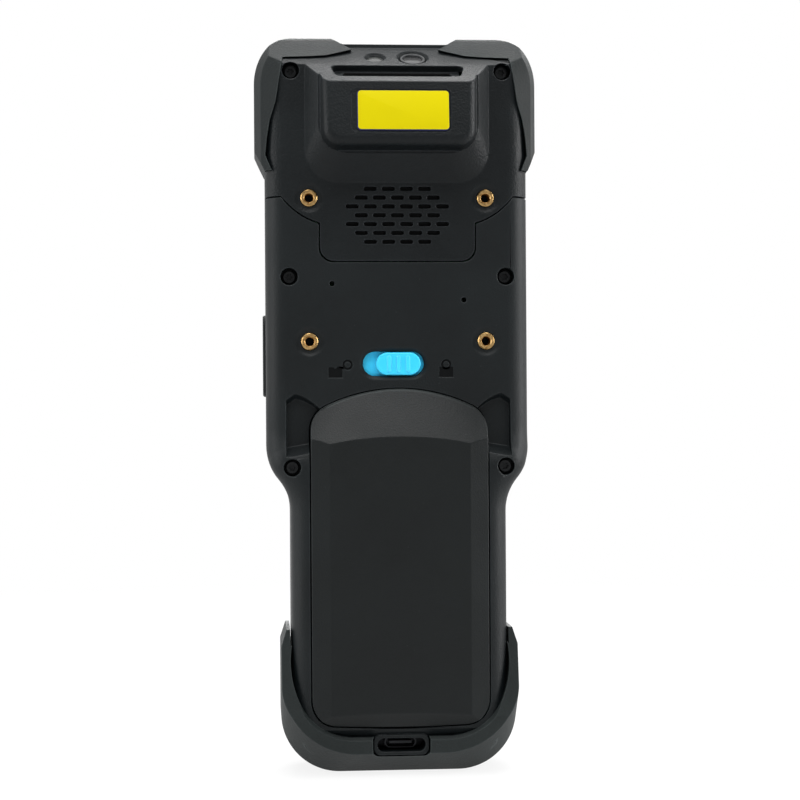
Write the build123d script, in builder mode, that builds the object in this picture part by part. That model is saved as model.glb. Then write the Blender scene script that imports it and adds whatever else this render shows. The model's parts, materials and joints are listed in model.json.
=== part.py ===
"""Portable barcode data terminal: a rugged handheld computer with a scanner in a hump on its back.

The terminal stands on the flat bottom of its rubber boot.  X runs across it, to the right when it is
seen from behind, Y runs from its back to its front, and Z runs up its length.  Lengths are in mm.
"""
from build123d import *
from math import atan2, cos, degrees, radians, sin
import os

os.makedirs("parts", exist_ok=True)

# ---------------------------------------------------------------- case: depths (Y)
front_y = 17.5            # face of the front housing
lip_proud = 1.0           # rubber lips stand this far in front of the face
body_thickness = 24.0     # face to back, in the upper body
back_y = front_y - body_thickness
seam_y = 2.0              # the two case halves meet here
grip_rise = 3.5           # the grip's back stands this far behind the upper back
grip_back_y = back_y - grip_rise
battery_rise = 6.0
battery_face_y = back_y - battery_rise
hump_rise = 12.3
hump_face_y = back_y - hump_rise
wall = 2.0                # case wall
front_wall = 1.8          # wall under the keys
joint_gap = 0.3           # visible gap between two covers
clearance = 0.3           # running gap beside anything that moves
over = 1.0                # cuts and trims run past the surfaces by this much

# ---------------------------------------------------------------- case: heights (Z) and widths (X)
boot_floor = 3.2
case_bottom_z = boot_floor
case_length = 202.0
front_top_z = case_bottom_z + case_length
rear_top_z = front_top_z - 0.9
body_width = 73.8
grip_width = 60.4
taper_low_z = 73.2        # the waist widens from here
taper_high_z = 91.5       # to here
body_corner = 11.0
grip_corner = 13.0
edge_round = 6.5          # long rounded edges of the back
front_round = 3.0
swell_high_z = 97.0       # the back starts to swell into the grip
swell_low_z = 85.0
heel_z = 13.2             # the back turns in towards the bottom
heel_low_z = 4.6
heel_low_y = -3.9

# ---------------------------------------------------------------- scanner cover
cover_side_z = 161.0      # parting line at the sides of the case
cover_tab_half = 22.0
cover_tab_z = 142.9       # parting line below the speaker grille
cover_tab_round = 4.0
cover_shoulder_z = 153.6
cover_bow_inset = 4.5     # the parting line bows down from here to the tab
cover_bow = 0.95
ridge_z = 191.7           # top edge of the hump's face
ridge_drop = 1.8          # the face leans in by this much at the ridge
ridge_y = hump_face_y + ridge_drop
brow_z = 198.1            # the scanner slope meets the plane of the back
rim_y = 1.4
rim_z = 203.4             # the camera slope ends below the rim
skirt_half = 25.7
skirt_low_z = 165.1
skirt_corner = 9.0
skirt_rise = 6.3
skirt_run = 7.2           # the skirt draws in by this much at its lower end
skirt_side_run = 3.4
hump_half = 21.6
hump_low_z = 173.2
hump_corner = 5.5
hump_taper = 12.0         # degrees
hump_round = 2.6
slot_top_width = 37.6
slot_low_width = 34.4
slot_high = 7.8           # along the slope
slot_from_ridge = 3.6     # from the ridge to the slot, along the slope
slot_round = 1.8
duct_width = 30.5
duct_wall = 1.2
duct_mouth_deep = 2.0     # depth of the wide mouth over the duct
window_rim = 1.0          # the window reaches this far past the duct
window_ledge = 0.75       # and rests on a ledge this wide
window_z = 186.6
window_thick = 1.5
label_width = 25.3
label_high = 11.1
label_x = 0.9
label_z = 183.6
label_thick = 0.2
label_round = 1.0
label_margin = 0.35
label_seat_tab = 1.2      # its seat runs on to one side, to lift the plate by
camera_x = 4.8
camera_r = 3.7
flash_x = -5.75
flash_r = 2.2
dish_depth = 0.9          # dished rims around the camera and the flash
lens_thick = 0.8
eye_share = 0.5           # the camera and flash lie this far up the camera slope

# ---------------------------------------------------------------- speaker grille
grille_counts = [4, 5, 6, 5, 6, 5, 4]
grille_top_z = 163.4
grille_pitch_x = 5.05
grille_pitch_z = 2.47
grille_slot = 3.6
grille_slot_high = 1.1

# ---------------------------------------------------------------- fasteners and mounts
upper_screws = [(29.6, 196.3)]
middle_screws = [(30.3, 138.9)]
waist_screws = [(29.75, 85.8)]
screw_r = 1.0             # M2
screw_head_r = 1.9
screw_head_high = 1.6
screw_head_round = 0.4
socket_r = 0.75           # six-lobed socket
socket_lobe_r = 0.25
socket_deep = 1.1
screw_recess_r = 2.4
screw_recess_deep = 4.5
screw_length = 12.0
boss_r = 3.1
thread_clearance = 0.05
insert_half_x = 24.7
insert_high_z = 160.8
insert_low_z = 120.8
insert_r = 2.35
insert_bore_r = 1.25      # M3 thread
insert_length = 6.0
insert_proud = 0.15
insert_chamfer = 0.25
insert_boss_r = 3.9
spot_face_r = 4.2
spot_face_deep = 0.45
spot_face_rim = 1.0       # width of its sloping rim
pin_holes = [(-18.4, 136.9), (18.5, 132.3)]
pin_hole_r = 0.7

# ---------------------------------------------------------------- latch
latch_z = 114.55
latch_knob_width = 12.5
latch_knob_high = 6.3
latch_travel = 3.0
latch_slot_left = 9.9
latch_slot_right = 7.2
latch_slot_high = 6.8
latch_dish = 1.1          # a dished rim runs round the slot
latch_dish_deep = 0.7
latch_plate_half = 11.6
latch_plate_high = 9.6
latch_plate_thick = 1.0
latch_plate_round = 1.5
latch_knob_proud = 0.5
latch_knob_round = 0.6
latch_rib_proud = 0.5
latch_rib_pitch = 2.6
latch_rib_long = 4.5
latch_rib_wide = 1.1
latch_rib_round = 0.3
spring_wire_r = 0.35
spring_half = 9.5         # half the span of the latch's spring
spring_bow = 2.2
latch_tongue_width = 5.0
tongue_gap = 0.2          # the tongue ends this far above the battery bay

mark_z = 113.6            # padlock marks beside the latch: upper edge of the lock's body
mark_wide = 4.0
mark_high = 2.9
mark_line = 0.6
mark_deep = 0.3
mark_keyhole_r = 0.35
shackle_r = 1.45
shackle_rise = 0.7
open_mark_x = -17.6
shut_mark_x = 13.4

# ---------------------------------------------------------------- battery
battery_width = 49.3
battery_top_z = 107.5
battery_shoulder_z = 100.5
battery_low_z = 13.7
battery_sag = 0.9         # the lower edge bows down by this much
battery_low_corner = 7.0
battery_top_corner = 7.5
battery_gap = 0.3
battery_crown = 0.5
battery_edge = 2.4        # the sides of its face fall away by this much
battery_edge_run = 5.2
crescent_face_z = 94.2    # the thumb slope leaves the face here, on the centre line
crescent_face_side_z = 89.6
slope_foot = 0.1          # the thumb slope starts this far behind the back of the case
slope_side_foot = 0.9
slope_overrun = 1.1
battery_toe_z = 17.9      # the face turns in towards the lower edge
battery_toe = 2.6
battery_inner_y = 5.0
battery_lip_y = -3.6
battery_block_z = 98.0
block_gap = 1.8           # room above the inner block, so that the battery can tilt out
battery_shell = 1.2
cell_round = 2.0
battery_base_thick = 1.2
tray_wall = 1.5
groove_offsets = [3.4, 5.8]   # thumb grooves, down from the top edge
groove_wide = 0.5
groove_half = 19.7        # the grooves reach this far to each side
groove_fall = 4.8         # and end this much lower than they are in the middle
groove_deep = 0.3
contact_z = 24.0
contact_pitch = 4.0
contact_count = 5
contact_wide = 2.4
contact_high = 5.0
contact_thick = 0.3
connector_thick = 2.6
pin_r = 0.6
scoop_low_z = 91.2        # at the floor of the finger scoops
scoop_high_z = 104.9
scoop_inner = 21.5
scoop_inner_z = 100.9     # the arch at its upper end comes down to here, inside the bay
scoop_width = 6.4
scoop_deep = 2.6
scoop_slant = 1.7         # its lower ledge rises towards the battery by this much
scoop_corner = 1.7
scoop_crown = 2.5         # the arch starts this far from its outer side
scoop_bow = 0.5
ledge_slope = 0.5         # its lower ledge falls by this much per mm towards the back
crown_slope = 0.55        # its upper end rises by this much
arch_slope = 0.2          # and by this much where the arch meets the battery

# ---------------------------------------------------------------- boot and bumpers
bumper_side = 2.9
bumper_top = 2.1
bumper_low_z = 168.6
bumper_corner_x = 11.0
bumper_corner_z = 14.0
bumper_back = 0.9         # its back stands this far behind the case's back
bumper_face_run = 7.6     # its back slopes over this width
bumper_face_fall = 3.9
bumper_foot = 2.0         # its lower end wraps this far round the side of the case
bumper_foot_rise = 8.0
bumper_bevel = 1.8
bumper_bevel_deep = 4.6
bumper_brow_z = 197.6     # its back turns forward here and slopes up to its top
bumper_crest_y = 3.4
bumper_inner = 12.2       # its inner end, at the camera slope
bumper_inner_slant = 7.0  # and this much further out at the top
boot_side = 3.0
boot_corner = 16.5
boot_shoulder_z = 36.0
boot_arm_z = 40.5
boot_band_proud = 1.0     # a flat band runs round the grip's back, this far behind it
boot_rim_slope = 40.0     # degrees: inner edge of the band
boot_crease_z = 6.5
boot_crease_corner = (21.0, 20.5)
boot_crease_side = 0.2
boot_full_y = -0.5
boot_mouth_z = 11.0
boot_mouth_half = 13.0
boot_tip_y = -5.0
arm_gap = 0.4
lip_bevel = 1.2
boot_mouth_turn = (28.1, 20.7)
lip_overlap = 3.2         # width of the rubber lips on the front face

# ---------------------------------------------------------------- charging port
port_z = 8.7
port_width = 13.4
port_high = 3.7
port_face_y = -9.6
port_rim = 1.0
plug_shell_width = 8.9
plug_shell_high = 3.2
plug_shell_wall = 0.35
plug_shell_length = 6.0
plug_tongue_width = 6.2
plug_tongue_thick = 0.7
port_board_y = 1.2

# ---------------------------------------------------------------- display and keypad
glass_width = 62.0
glass_length = 101.0
glass_z = 147.5
glass_thick = 1.5
glass_gap = 0.2
lcd_width = 53.0
lcd_length = 90.0
lcd_thick = 3.2
ledge_thick = 1.5
ledge_margin = 2.0        # the ledge reaches this far past the ends of the glass
glass_round = 3.0
board_thick = 1.2
main_board_y = 6.8
main_board_width = 49.0
main_board_length = 101.0
main_board_z = 148.5
main_posts = [(21.5, 100.4), (21.5, 196.3)]
keypad_board_y = 11.4
keypad_board_width = 52.0
keypad_board_length = 77.0
keypad_board_z = 51.0
keypad_posts = [(24.0, 14.0), (24.0, 87.5)]
post_r = 1.8
pad_thick = 0.7
pad_inset = 5.0           # the rubber sheet leaves this much of the board bare at each side
shield_high = 1.6
shields = [(-9.0, 135.0, 22.0, 18.0), (10.0, 118.0, 22.0, 18.0), (0.0, 178.0, 30.0, 16.0)]
speaker_width = 30.0
speaker_high = 19.0
speaker_thick = 4.0
speaker_round = 2.0
rib_high = 2.0
rib_thick = 1.5
engine_width = 22.0
engine_high = 9.0
engine_thick = 7.5
engine_z = 180.6
engine_eye_deep = 1.5
eye_barrel = 2.5
seal_thick = 0.6
seal_deep = 1.8
key_top_y = front_y + 0.8
key_travel = 0.6
key_flange = 0.7
key_flange_thick = 0.7
key_width = 10.4
key_high = 6.4
key_pitch_x = 13.0
key_pitch_z = 8.8
key_low_row_z = 20.8
key_edge = 0.6
earpiece_z = front_top_z - 4.6
earpiece_wide = 12.0
earpiece_high = 1.4
earpiece_pitch = 1.4
earpiece_count = 7
earpiece_hole_r = 0.35
key_round = 1.6
scan_key_width = 15.5
scan_key_high = 11.0
scan_key_round = 5.0
pad_z = 75.0              # centre of the scan key and the arrow keys round it
upright_arrow = (14.0, 5.4)
sideways_arrow = (6.4, 12.5)
arrow_reach_x = 13.6
arrow_reach_z = 10.8
keypad_rows = [
    ["key_dot", "key_0", "key_minus", "key_enter"],
    ["key_7", "key_8", "key_9", "key_star"],
    ["key_4", "key_5", "key_6", "key_shift"],
    ["key_1", "key_2", "key_3", "key_func"],
    ["key_power", "key_escape", "key_tab", "key_back"],
]

# ---------------------------------------------------------------- side triggers
trigger_low_z = 105.5
trigger_high_z = 128.8
trigger_wide = 7.0
trigger_y = 9.4
trigger_proud = 0.8
trigger_travel = 0.6
trigger_flange = 0.9
trigger_flange_thick = 0.8
switch_wide = 4.0
switch_long = 6.0
switch_high = 1.2
switch_strip_wide = 5.0
switch_strip_thick = 0.8

# ---------------------------------------------------------------- worked out from the above
body_half = body_width / 2
grip_half = grip_width / 2
lip_y = front_y + lip_proud
inner_back_y = back_y + wall
key_foot_y = keypad_board_y + board_thick + pad_thick + key_travel + clearance
slope_rise = (brow_z - ridge_z) / (back_y - ridge_y)
slope_tilt = degrees(atan2(brow_z - ridge_z, back_y - ridge_y))
eye_tilt = degrees(atan2(rim_z - brow_z, rim_y - back_y))
eye_y = back_y + (rim_y - back_y) * eye_share
eye_z = brow_z + (rim_z - brow_z) * eye_share
slope_out = (0, -sin(radians(slope_tilt)), cos(radians(slope_tilt)))
eye_out = (0, -sin(radians(eye_tilt)), cos(radians(eye_tilt)))
face_rise = ridge_drop / (ridge_z - hump_low_z)
face_lean = degrees(atan2(ridge_drop, ridge_z - hump_low_z))
face_out = (0, -cos(radians(face_lean)), sin(radians(face_lean)))
label_y = ridge_y - (ridge_z - label_z) * face_rise
screw_seat_y = back_y + screw_recess_deep
waist_seat_y = grip_back_y + screw_recess_deep


def at_y(y):
    """Upright plane at depth y: sketch x is X, sketch y is Z, and an extrusion runs to the back."""
    return Plane.XZ.offset(-y)


def from_side(x):
    """Upright plane at x: sketch x is Y, sketch y is Z, and an extrusion runs to the right."""
    return Plane.YZ.offset(x)


def mirrored(places):
    """Each (x, z) place and its twin on the other side of the case."""
    return [(side * x, z) for side in (-1, 1) for x, z in places]


# ================================================================ shapes that several pieces share
def case_outline(y, inset, top_z):
    """The case seen from behind, drawn in by inset: a wide body above a narrower grip."""
    half_low = grip_half - inset
    half_high = body_half - inset
    waist = ((half_low + half_high) / 2, (taper_low_z + taper_high_z) / 2)
    low_corner = grip_corner - inset
    high_corner = body_corner - inset
    low = case_bottom_z + inset
    high = top_z - inset
    with BuildSketch(at_y(y)) as outline:
        with BuildLine():
            bottom = Line((0, low), (half_low - low_corner, low))
            heel = TangentArc(bottom @ 1, (half_low, low + low_corner), tangent=(1, 0))
            grip = Line(heel @ 1, (half_low, taper_low_z))
            hollow = TangentArc(grip @ 1, waist, tangent=(0, 1))
            swell = TangentArc(waist, (half_high, taper_high_z), tangent=hollow % 1)
            side = Line(swell @ 1, (half_high, high - high_corner))
            corner = TangentArc(side @ 1, (half_high - high_corner, high), tangent=(0, 1))
            Line(corner @ 1, (0, high))
            mirror(about=Plane.YZ)
        make_face()
    return outline.sketch


def rear_profile(inset):
    """The rear half seen from the side: scanner slope, flat back, swelling grip and heel."""
    back = back_y + inset
    grip = grip_back_y + inset
    middle = ((back + grip) / 2, (swell_high_z + swell_low_z) / 2)
    low = case_bottom_z + inset
    with BuildSketch(from_side(-body_half)) as profile:
        with BuildLine():
            slope = Polyline(
                (seam_y, rear_top_z - inset),
                (rim_y, rim_z - inset),
                (back, brow_z - inset),
                (back, swell_high_z),
            )
            hollow = TangentArc(slope @ 1, middle, tangent=(0, -1))
            swell = TangentArc(middle, (grip, swell_low_z), tangent=hollow % 1)
            Polyline(
                swell @ 1,
                (grip, heel_z + inset / 2),
                (heel_low_y + inset, heel_low_z + inset / 2),
                (heel_low_y + wall + inset, low),
                (seam_y, low),
                (seam_y, rear_top_z - inset),
            )
        make_face()
    return profile.sketch


def runs_along_the_side(edge):
    """True for the long edges between the back and the two sides."""
    box = edge.bounding_box()
    at_seam = box.max.Y > seam_y - 0.01
    across = abs(edge.center().X) < grip_half - edge_round
    at_an_end = box.min.Z < heel_z - 1 or box.max.Z > brow_z + 0.1
    into_depth = box.size.X < 0.01 and box.size.Z < 0.01
    return not (at_seam or across or at_an_end or into_depth)


def rear_form(inset):
    """Solid rear half of the case, drawn in by inset, with its long edges rounded."""
    with BuildPart() as form:
        extrude(case_outline(seam_y, inset, front_top_z), amount=seam_y - grip_back_y)
        extrude(rear_profile(inset), amount=body_width, mode=Mode.INTERSECT)
        long_edges = form.edges().filter_by(runs_along_the_side)
        fillet(long_edges, edge_round - inset)
    return form.part


def hump_form(inset, edge):
    """Solid hump and the skirt that it stands on, drawn in by inset, its face rounded off by edge."""
    above = front_top_z
    skirt_low = skirt_low_z + inset
    hump_low = hump_low_z + inset
    skirt_y = back_y - skirt_rise + inset
    with BuildPart() as skirt:
        with BuildSketch(at_y(back_y + inset)):
            with Locations((0, (skirt_low + above) / 2)):
                RectangleRounded(2 * (skirt_half - inset), above - skirt_low, skirt_corner - inset)
        with BuildSketch(at_y(skirt_y)):
            with Locations((0, (skirt_low + skirt_run + above) / 2)):
                RectangleRounded(
                    2 * (skirt_half - skirt_side_run - inset),
                    above - skirt_low - skirt_run,
                    skirt_corner - inset,
                )
        loft(ruled=True)
    with BuildPart() as block:
        with BuildSketch(at_y(skirt_y)):
            with Locations((0, (hump_low + above) / 2)):
                RectangleRounded(2 * (hump_half - inset), above - hump_low, hump_corner - inset)
        extrude(amount=skirt_y - hump_face_y - inset, taper=hump_taper)
        with BuildSketch(from_side(-hump_half)):
            with BuildLine():
                Polyline(
                    (skirt_y + over, skirt_low_z),
                    (hump_face_y + inset, skirt_low_z),
                    (hump_face_y + inset, hump_low_z),
                    (hump_face_y + inset + (above - hump_low_z) * face_rise, above),
                    (skirt_y + over, above),
                    close=True,
                )
            make_face()
        extrude(amount=2 * hump_half, mode=Mode.INTERSECT)
        if edge > 0:
            face = block.faces().sort_by(Axis.Y)[0]
            fillet(face.edges(), edge)
    with BuildPart() as form:
        add(skirt.part)
        add(block.part)
        with BuildSketch(from_side(-skirt_half)):
            with BuildLine():
                Polyline(
                    (seam_y, skirt_low_z - over),
                    (hump_face_y - over, skirt_low_z - over),
                    (hump_face_y - over, ridge_z - inset - (ridge_drop + over) * slope_rise),
                    (back_y, brow_z - inset),
                    (seam_y, brow_z - inset),
                    close=True,
                )
            make_face()
        extrude(amount=2 * skirt_half, mode=Mode.INTERSECT)
    return form.part


def cover_zone(gap):
    """Everything on the scanner cover's side of the parting line, drawn in by gap."""
    side_z = cover_side_z + gap
    tab_half = cover_tab_half - gap
    tab_z = cover_tab_z + gap
    shoulder = (tab_half, cover_shoulder_z + gap)
    outside = (body_half + over, side_z)
    bow_start = (body_half - cover_bow_inset, side_z)
    bow_middle = (
        (bow_start[0] + shoulder[0]) / 2 + cover_bow / 2,
        (bow_start[1] + shoulder[1]) / 2 - cover_bow,
    )
    with BuildPart() as zone:
        with BuildSketch(at_y(seam_y)) as outline:
            with BuildLine():
                Polyline((0, front_top_z + over), (outside[0], front_top_z + over), outside, bow_start)
                ThreePointArc(bow_start, bow_middle, shoulder)
                down = Line(shoulder, (tab_half, tab_z + cover_tab_round))
                turn = TangentArc(down @ 1, (tab_half - cover_tab_round, tab_z), tangent=(0, -1))
                Line(turn @ 1, (0, tab_z))
                mirror(about=Plane.YZ)
            make_face()
        extrude(amount=seam_y - hump_face_y + over)
    return zone.part


def battery_outline(y, gap):
    """The battery seen from behind, drawn out by gap: an arched top and a bowed lower edge."""
    half = battery_width / 2 + gap
    low = battery_low_z - gap
    with BuildSketch(at_y(y)) as outline:
        with BuildLine():
            Line((-half, low + battery_sag), (-half, battery_shoulder_z))
            ThreePointArc((-half, battery_shoulder_z), (0, battery_top_z + gap), (half, battery_shoulder_z))
            Line((half, battery_shoulder_z), (half, low + battery_sag))
            ThreePointArc((half, low + battery_sag), (0, low), (-half, low + battery_sag))
        make_face()
        fillet(outline.vertices().sort_by(Axis.Y)[:2], battery_low_corner + gap)
        fillet(outline.vertices().sort_by(Axis.Y)[-2:], battery_top_corner + gap)
    return outline.sketch


def below(z):
    """A large block under the level z, to keep the lower part of something."""
    with BuildPart() as block:
        with Locations((0, 0, z)):
            Box(
                2 * body_width, 2 * body_width, case_length, align=(Align.CENTER, Align.CENTER, Align.MAX)
            )
    return block.part


# ================================================================ rear housing
outer_rear = rear_form(0)
inner_rear = rear_form(wall)
tray_gap = battery_gap + tray_wall
pocket_deep_z = battery_block_z + block_gap
tray_floor_y = battery_inner_y + clearance
lip_floor_y = battery_lip_y + clearance
knob_seat_y = inner_back_y + clearance

with BuildPart() as tray:
    extrude(battery_outline(lip_floor_y + tray_wall, tray_gap), amount=lip_floor_y - grip_back_y)
    add(below(battery_top_z + tray_gap), mode=Mode.INTERSECT)
with BuildPart() as deep_tray:
    extrude(battery_outline(tray_floor_y + tray_wall, tray_gap), amount=tray_floor_y - grip_back_y)
    add(below(pocket_deep_z + tray_wall), mode=Mode.INTERSECT)
with BuildPart() as ahead_of_seam:
    with BuildSketch(at_y(front_y)):
        with Locations((0, case_length / 2)):
            Rectangle(grip_width, case_length + 2 * case_bottom_z)
    extrude(amount=front_y - seam_y)
with BuildPart() as trimmed_tray:
    add(tray.part)
    add(deep_tray.part)
    add(outer_rear + ahead_of_seam.part, mode=Mode.INTERSECT)
with BuildPart() as pocket:
    extrude(battery_outline(lip_floor_y, battery_gap), amount=lip_floor_y - hump_face_y)
with BuildPart() as deep_pocket:
    extrude(battery_outline(tray_floor_y, battery_gap), amount=tray_floor_y - lip_floor_y + over)
    add(below(pocket_deep_z), mode=Mode.INTERSECT)

with BuildPart() as bosses:
    # every case screw and mounting insert stands in a boss of the back
    with BuildSketch(at_y(seam_y)):
        with Locations(*mirrored(upper_screws + middle_screws + waist_screws)):
            Circle(boss_r)
        with Locations(*mirrored([(insert_half_x, insert_low_z), (insert_half_x, insert_high_z)])):
            Circle(insert_boss_r)
    extrude(amount=seam_y - grip_back_y)
    add(rear_form(wall / 2), mode=Mode.INTERSECT)

with BuildPart() as screw_ways:
    # clearance holes, and the recesses that the heads sit in
    with BuildSketch(at_y(seam_y)):
        with Locations(*mirrored(upper_screws + middle_screws + waist_screws)):
            Circle(screw_r + clearance)
    extrude(amount=seam_y - grip_back_y)
    with BuildSketch(at_y(screw_seat_y)):
        with Locations(*mirrored(upper_screws + middle_screws)):
            Circle(screw_recess_r)
    extrude(amount=screw_recess_deep + hump_rise)
    with BuildSketch(at_y(waist_seat_y)):
        with Locations(*mirrored(waist_screws)):
            Circle(screw_recess_r)
    extrude(amount=screw_recess_deep + over)

with BuildPart() as insert_seats:
    with BuildSketch(at_y(back_y + insert_length - insert_proud)):
        with Locations(*mirrored([(insert_half_x, insert_low_z), (insert_half_x, insert_high_z)])):
            Circle(insert_r + thread_clearance)
    extrude(amount=insert_length + over)
    with BuildSketch(at_y(back_y)):
        with Locations(*mirrored([(insert_half_x, insert_low_z), (insert_half_x, insert_high_z)])):
            Circle(spot_face_r)
    extrude(amount=-spot_face_deep, taper=degrees(atan2(spot_face_rim, spot_face_deep)))

# finger scoops: pockets that open towards the battery, with a sloping ledge at their lower end
scoop_outer = battery_width / 2 + battery_gap + scoop_width


def scoop_section(floor_y, y, grow):
    """The right scoop at depth y, drawn out by grow: its ends slope outwards from its floor."""
    rise = floor_y - y
    low = scoop_low_z - grow - rise * ledge_slope
    high = scoop_high_z + grow + rise * crown_slope
    outer = scoop_outer + grow
    arch_end = (scoop_inner, scoop_inner_z + grow + rise * arch_slope)
    crown = (outer - scoop_crown, high)
    arch_middle = ((arch_end[0] + crown[0]) / 2 - scoop_bow, (arch_end[1] + crown[1]) / 2 + scoop_bow)
    with BuildSketch(at_y(y)) as section:
        with BuildLine():
            Polyline(
                arch_end, (scoop_inner, low + scoop_slant), (outer, low), (outer, high - scoop_corner), crown
            )
            ThreePointArc(crown, arch_middle, arch_end)
        make_face()
    return section.sketch


def scoop_pair(floor_y, grow):
    """The space of both finger scoops down to floor_y, drawn out by grow."""
    with BuildPart() as pair:
        add(scoop_section(floor_y, floor_y, grow))
        add(scoop_section(floor_y, battery_face_y, grow))
        loft(ruled=True)
        mirror(about=Plane.YZ)
    return pair.part


scoop_floor_y = back_y + scoop_deep
with BuildPart() as scoop_walls:
    add(scoop_pair(scoop_floor_y + tray_wall, tray_wall))
    add(rear_form(wall / 2), mode=Mode.INTERSECT)

with BuildPart() as rear_housing:
    add(outer_rear)
    add(inner_rear, mode=Mode.SUBTRACT)
    add(trimmed_tray.part)
    add(bosses.part)
    add(scoop_walls.part)
    # surround of the charging port
    with BuildSketch(at_y(0)):
        with Locations((0, port_z)):
            RectangleRounded(port_width + 2 * port_rim, port_high + 2 * port_rim, port_high / 2)
    extrude(amount=-port_face_y)
    # everything above the parting line belongs to the scanner cover
    add(cover_zone(0), mode=Mode.SUBTRACT)
    # battery bay
    add(pocket.part, mode=Mode.SUBTRACT)
    add(deep_pocket.part, mode=Mode.SUBTRACT)
    add(screw_ways.part, mode=Mode.SUBTRACT)
    add(insert_seats.part, mode=Mode.SUBTRACT)
    # slot of the latch, and the tongue's way through the wall of the bay
    with BuildSketch(at_y(inner_back_y)):
        with Locations(((latch_slot_right - latch_slot_left) / 2, latch_z)):
            SlotOverall(latch_slot_left + latch_slot_right, latch_slot_high)
    extrude(amount=wall + over, mode=Mode.SUBTRACT)
    with BuildSketch(at_y(back_y)):
        with Locations(((latch_slot_right - latch_slot_left) / 2, latch_z)):
            SlotOverall(
                latch_slot_left + latch_slot_right + 2 * latch_dish, latch_slot_high + 2 * latch_dish
            )
    extrude(amount=-latch_dish_deep, taper=degrees(atan2(latch_dish, latch_dish_deep)), mode=Mode.SUBTRACT)
    # padlock marks at the two ends of the latch's travel, the left one open
    with BuildSketch(at_y(back_y + mark_deep)):
        for x, shackle_x in ((open_mark_x, open_mark_x + mark_wide - mark_line), (shut_mark_x, shut_mark_x)):
            with Locations((x, mark_z)):
                Rectangle(mark_wide, mark_high, align=(Align.CENTER, Align.MAX))
                Circle(mark_keyhole_r, mode=Mode.SUBTRACT)
            with Locations((shackle_x, mark_z + shackle_rise)):
                Circle(shackle_r)
                Circle(shackle_r - mark_line, mode=Mode.SUBTRACT)
    extrude(amount=mark_deep + over, mode=Mode.SUBTRACT)
    with BuildSketch(at_y(knob_seat_y + latch_plate_thick + clearance)):
        with Locations((-latch_travel / 2, battery_top_z + over)):
            Rectangle(latch_tongue_width + latch_travel + 2 * clearance, 2 * (tray_wall + over))
    extrude(amount=latch_plate_thick + 2 * clearance, mode=Mode.SUBTRACT)
    # two small pin holes
    with BuildSketch(at_y(inner_back_y)):
        with Locations(*pin_holes):
            Circle(pin_hole_r)
    extrude(amount=wall + over, mode=Mode.SUBTRACT)
    # mouth of the charging port
    with BuildSketch(at_y(0)):
        with Locations((0, port_z)):
            SlotOverall(port_width, port_high)
    extrude(amount=over - port_face_y, mode=Mode.SUBTRACT)
    # ways for the spring pins that meet the battery
    with BuildSketch(at_y(tray_floor_y + tray_wall)):
        with Locations((0, contact_z)):
            with GridLocations(contact_pitch, 1, contact_count, 1):
                Circle(pin_r + clearance / 2)
    extrude(amount=tray_wall + over, mode=Mode.SUBTRACT)
    # finger scoops beside the top of the battery
    add(scoop_pair(scoop_floor_y, 0), mode=Mode.SUBTRACT)
rear_housing.part.label = "rear_housing"
export_step(rear_housing.part, "parts/rear_housing.step")

# ================================================================ scanner cover
label_plane = Plane(origin=(label_x, label_y, label_z), x_dir=(1, 0, 0), z_dir=face_out)
slot_center = slot_from_ridge + slot_high / 2
slot_plane = Plane(
    origin=(
        0,
        ridge_y + slot_center * cos(radians(slope_tilt)),
        ridge_z + slot_center * sin(radians(slope_tilt)),
    ),
    x_dir=(1, 0, 0),
    z_dir=slope_out,
)
duct_high = slot_high * cos(radians(slope_tilt))
window_width = duct_width + 2 * window_rim
duct_y = slot_plane.origin.Y
hood_low_z = window_z - duct_wall
rib_y = ridge_y + wall / 2 + rib_high   # the scan engine rests on two ribs at this depth


def eye_plane(x, sink):
    """Plane on the camera slope at x, sunk below its surface."""
    return Plane(
        origin=(x, eye_y - sink * eye_out[1], eye_z - sink * eye_out[2]), x_dir=(1, 0, 0), z_dir=eye_out
    )


with BuildPart() as hood:
    with BuildSketch(Plane.XY.offset(hood_low_z)):
        with Locations((0, duct_y)):
            Rectangle(window_width + 2 * duct_wall, duct_high + 2 * duct_wall)
    extrude(amount=brow_z - hood_low_z)
    add(hump_form(wall / 2, 0), mode=Mode.INTERSECT)

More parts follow.
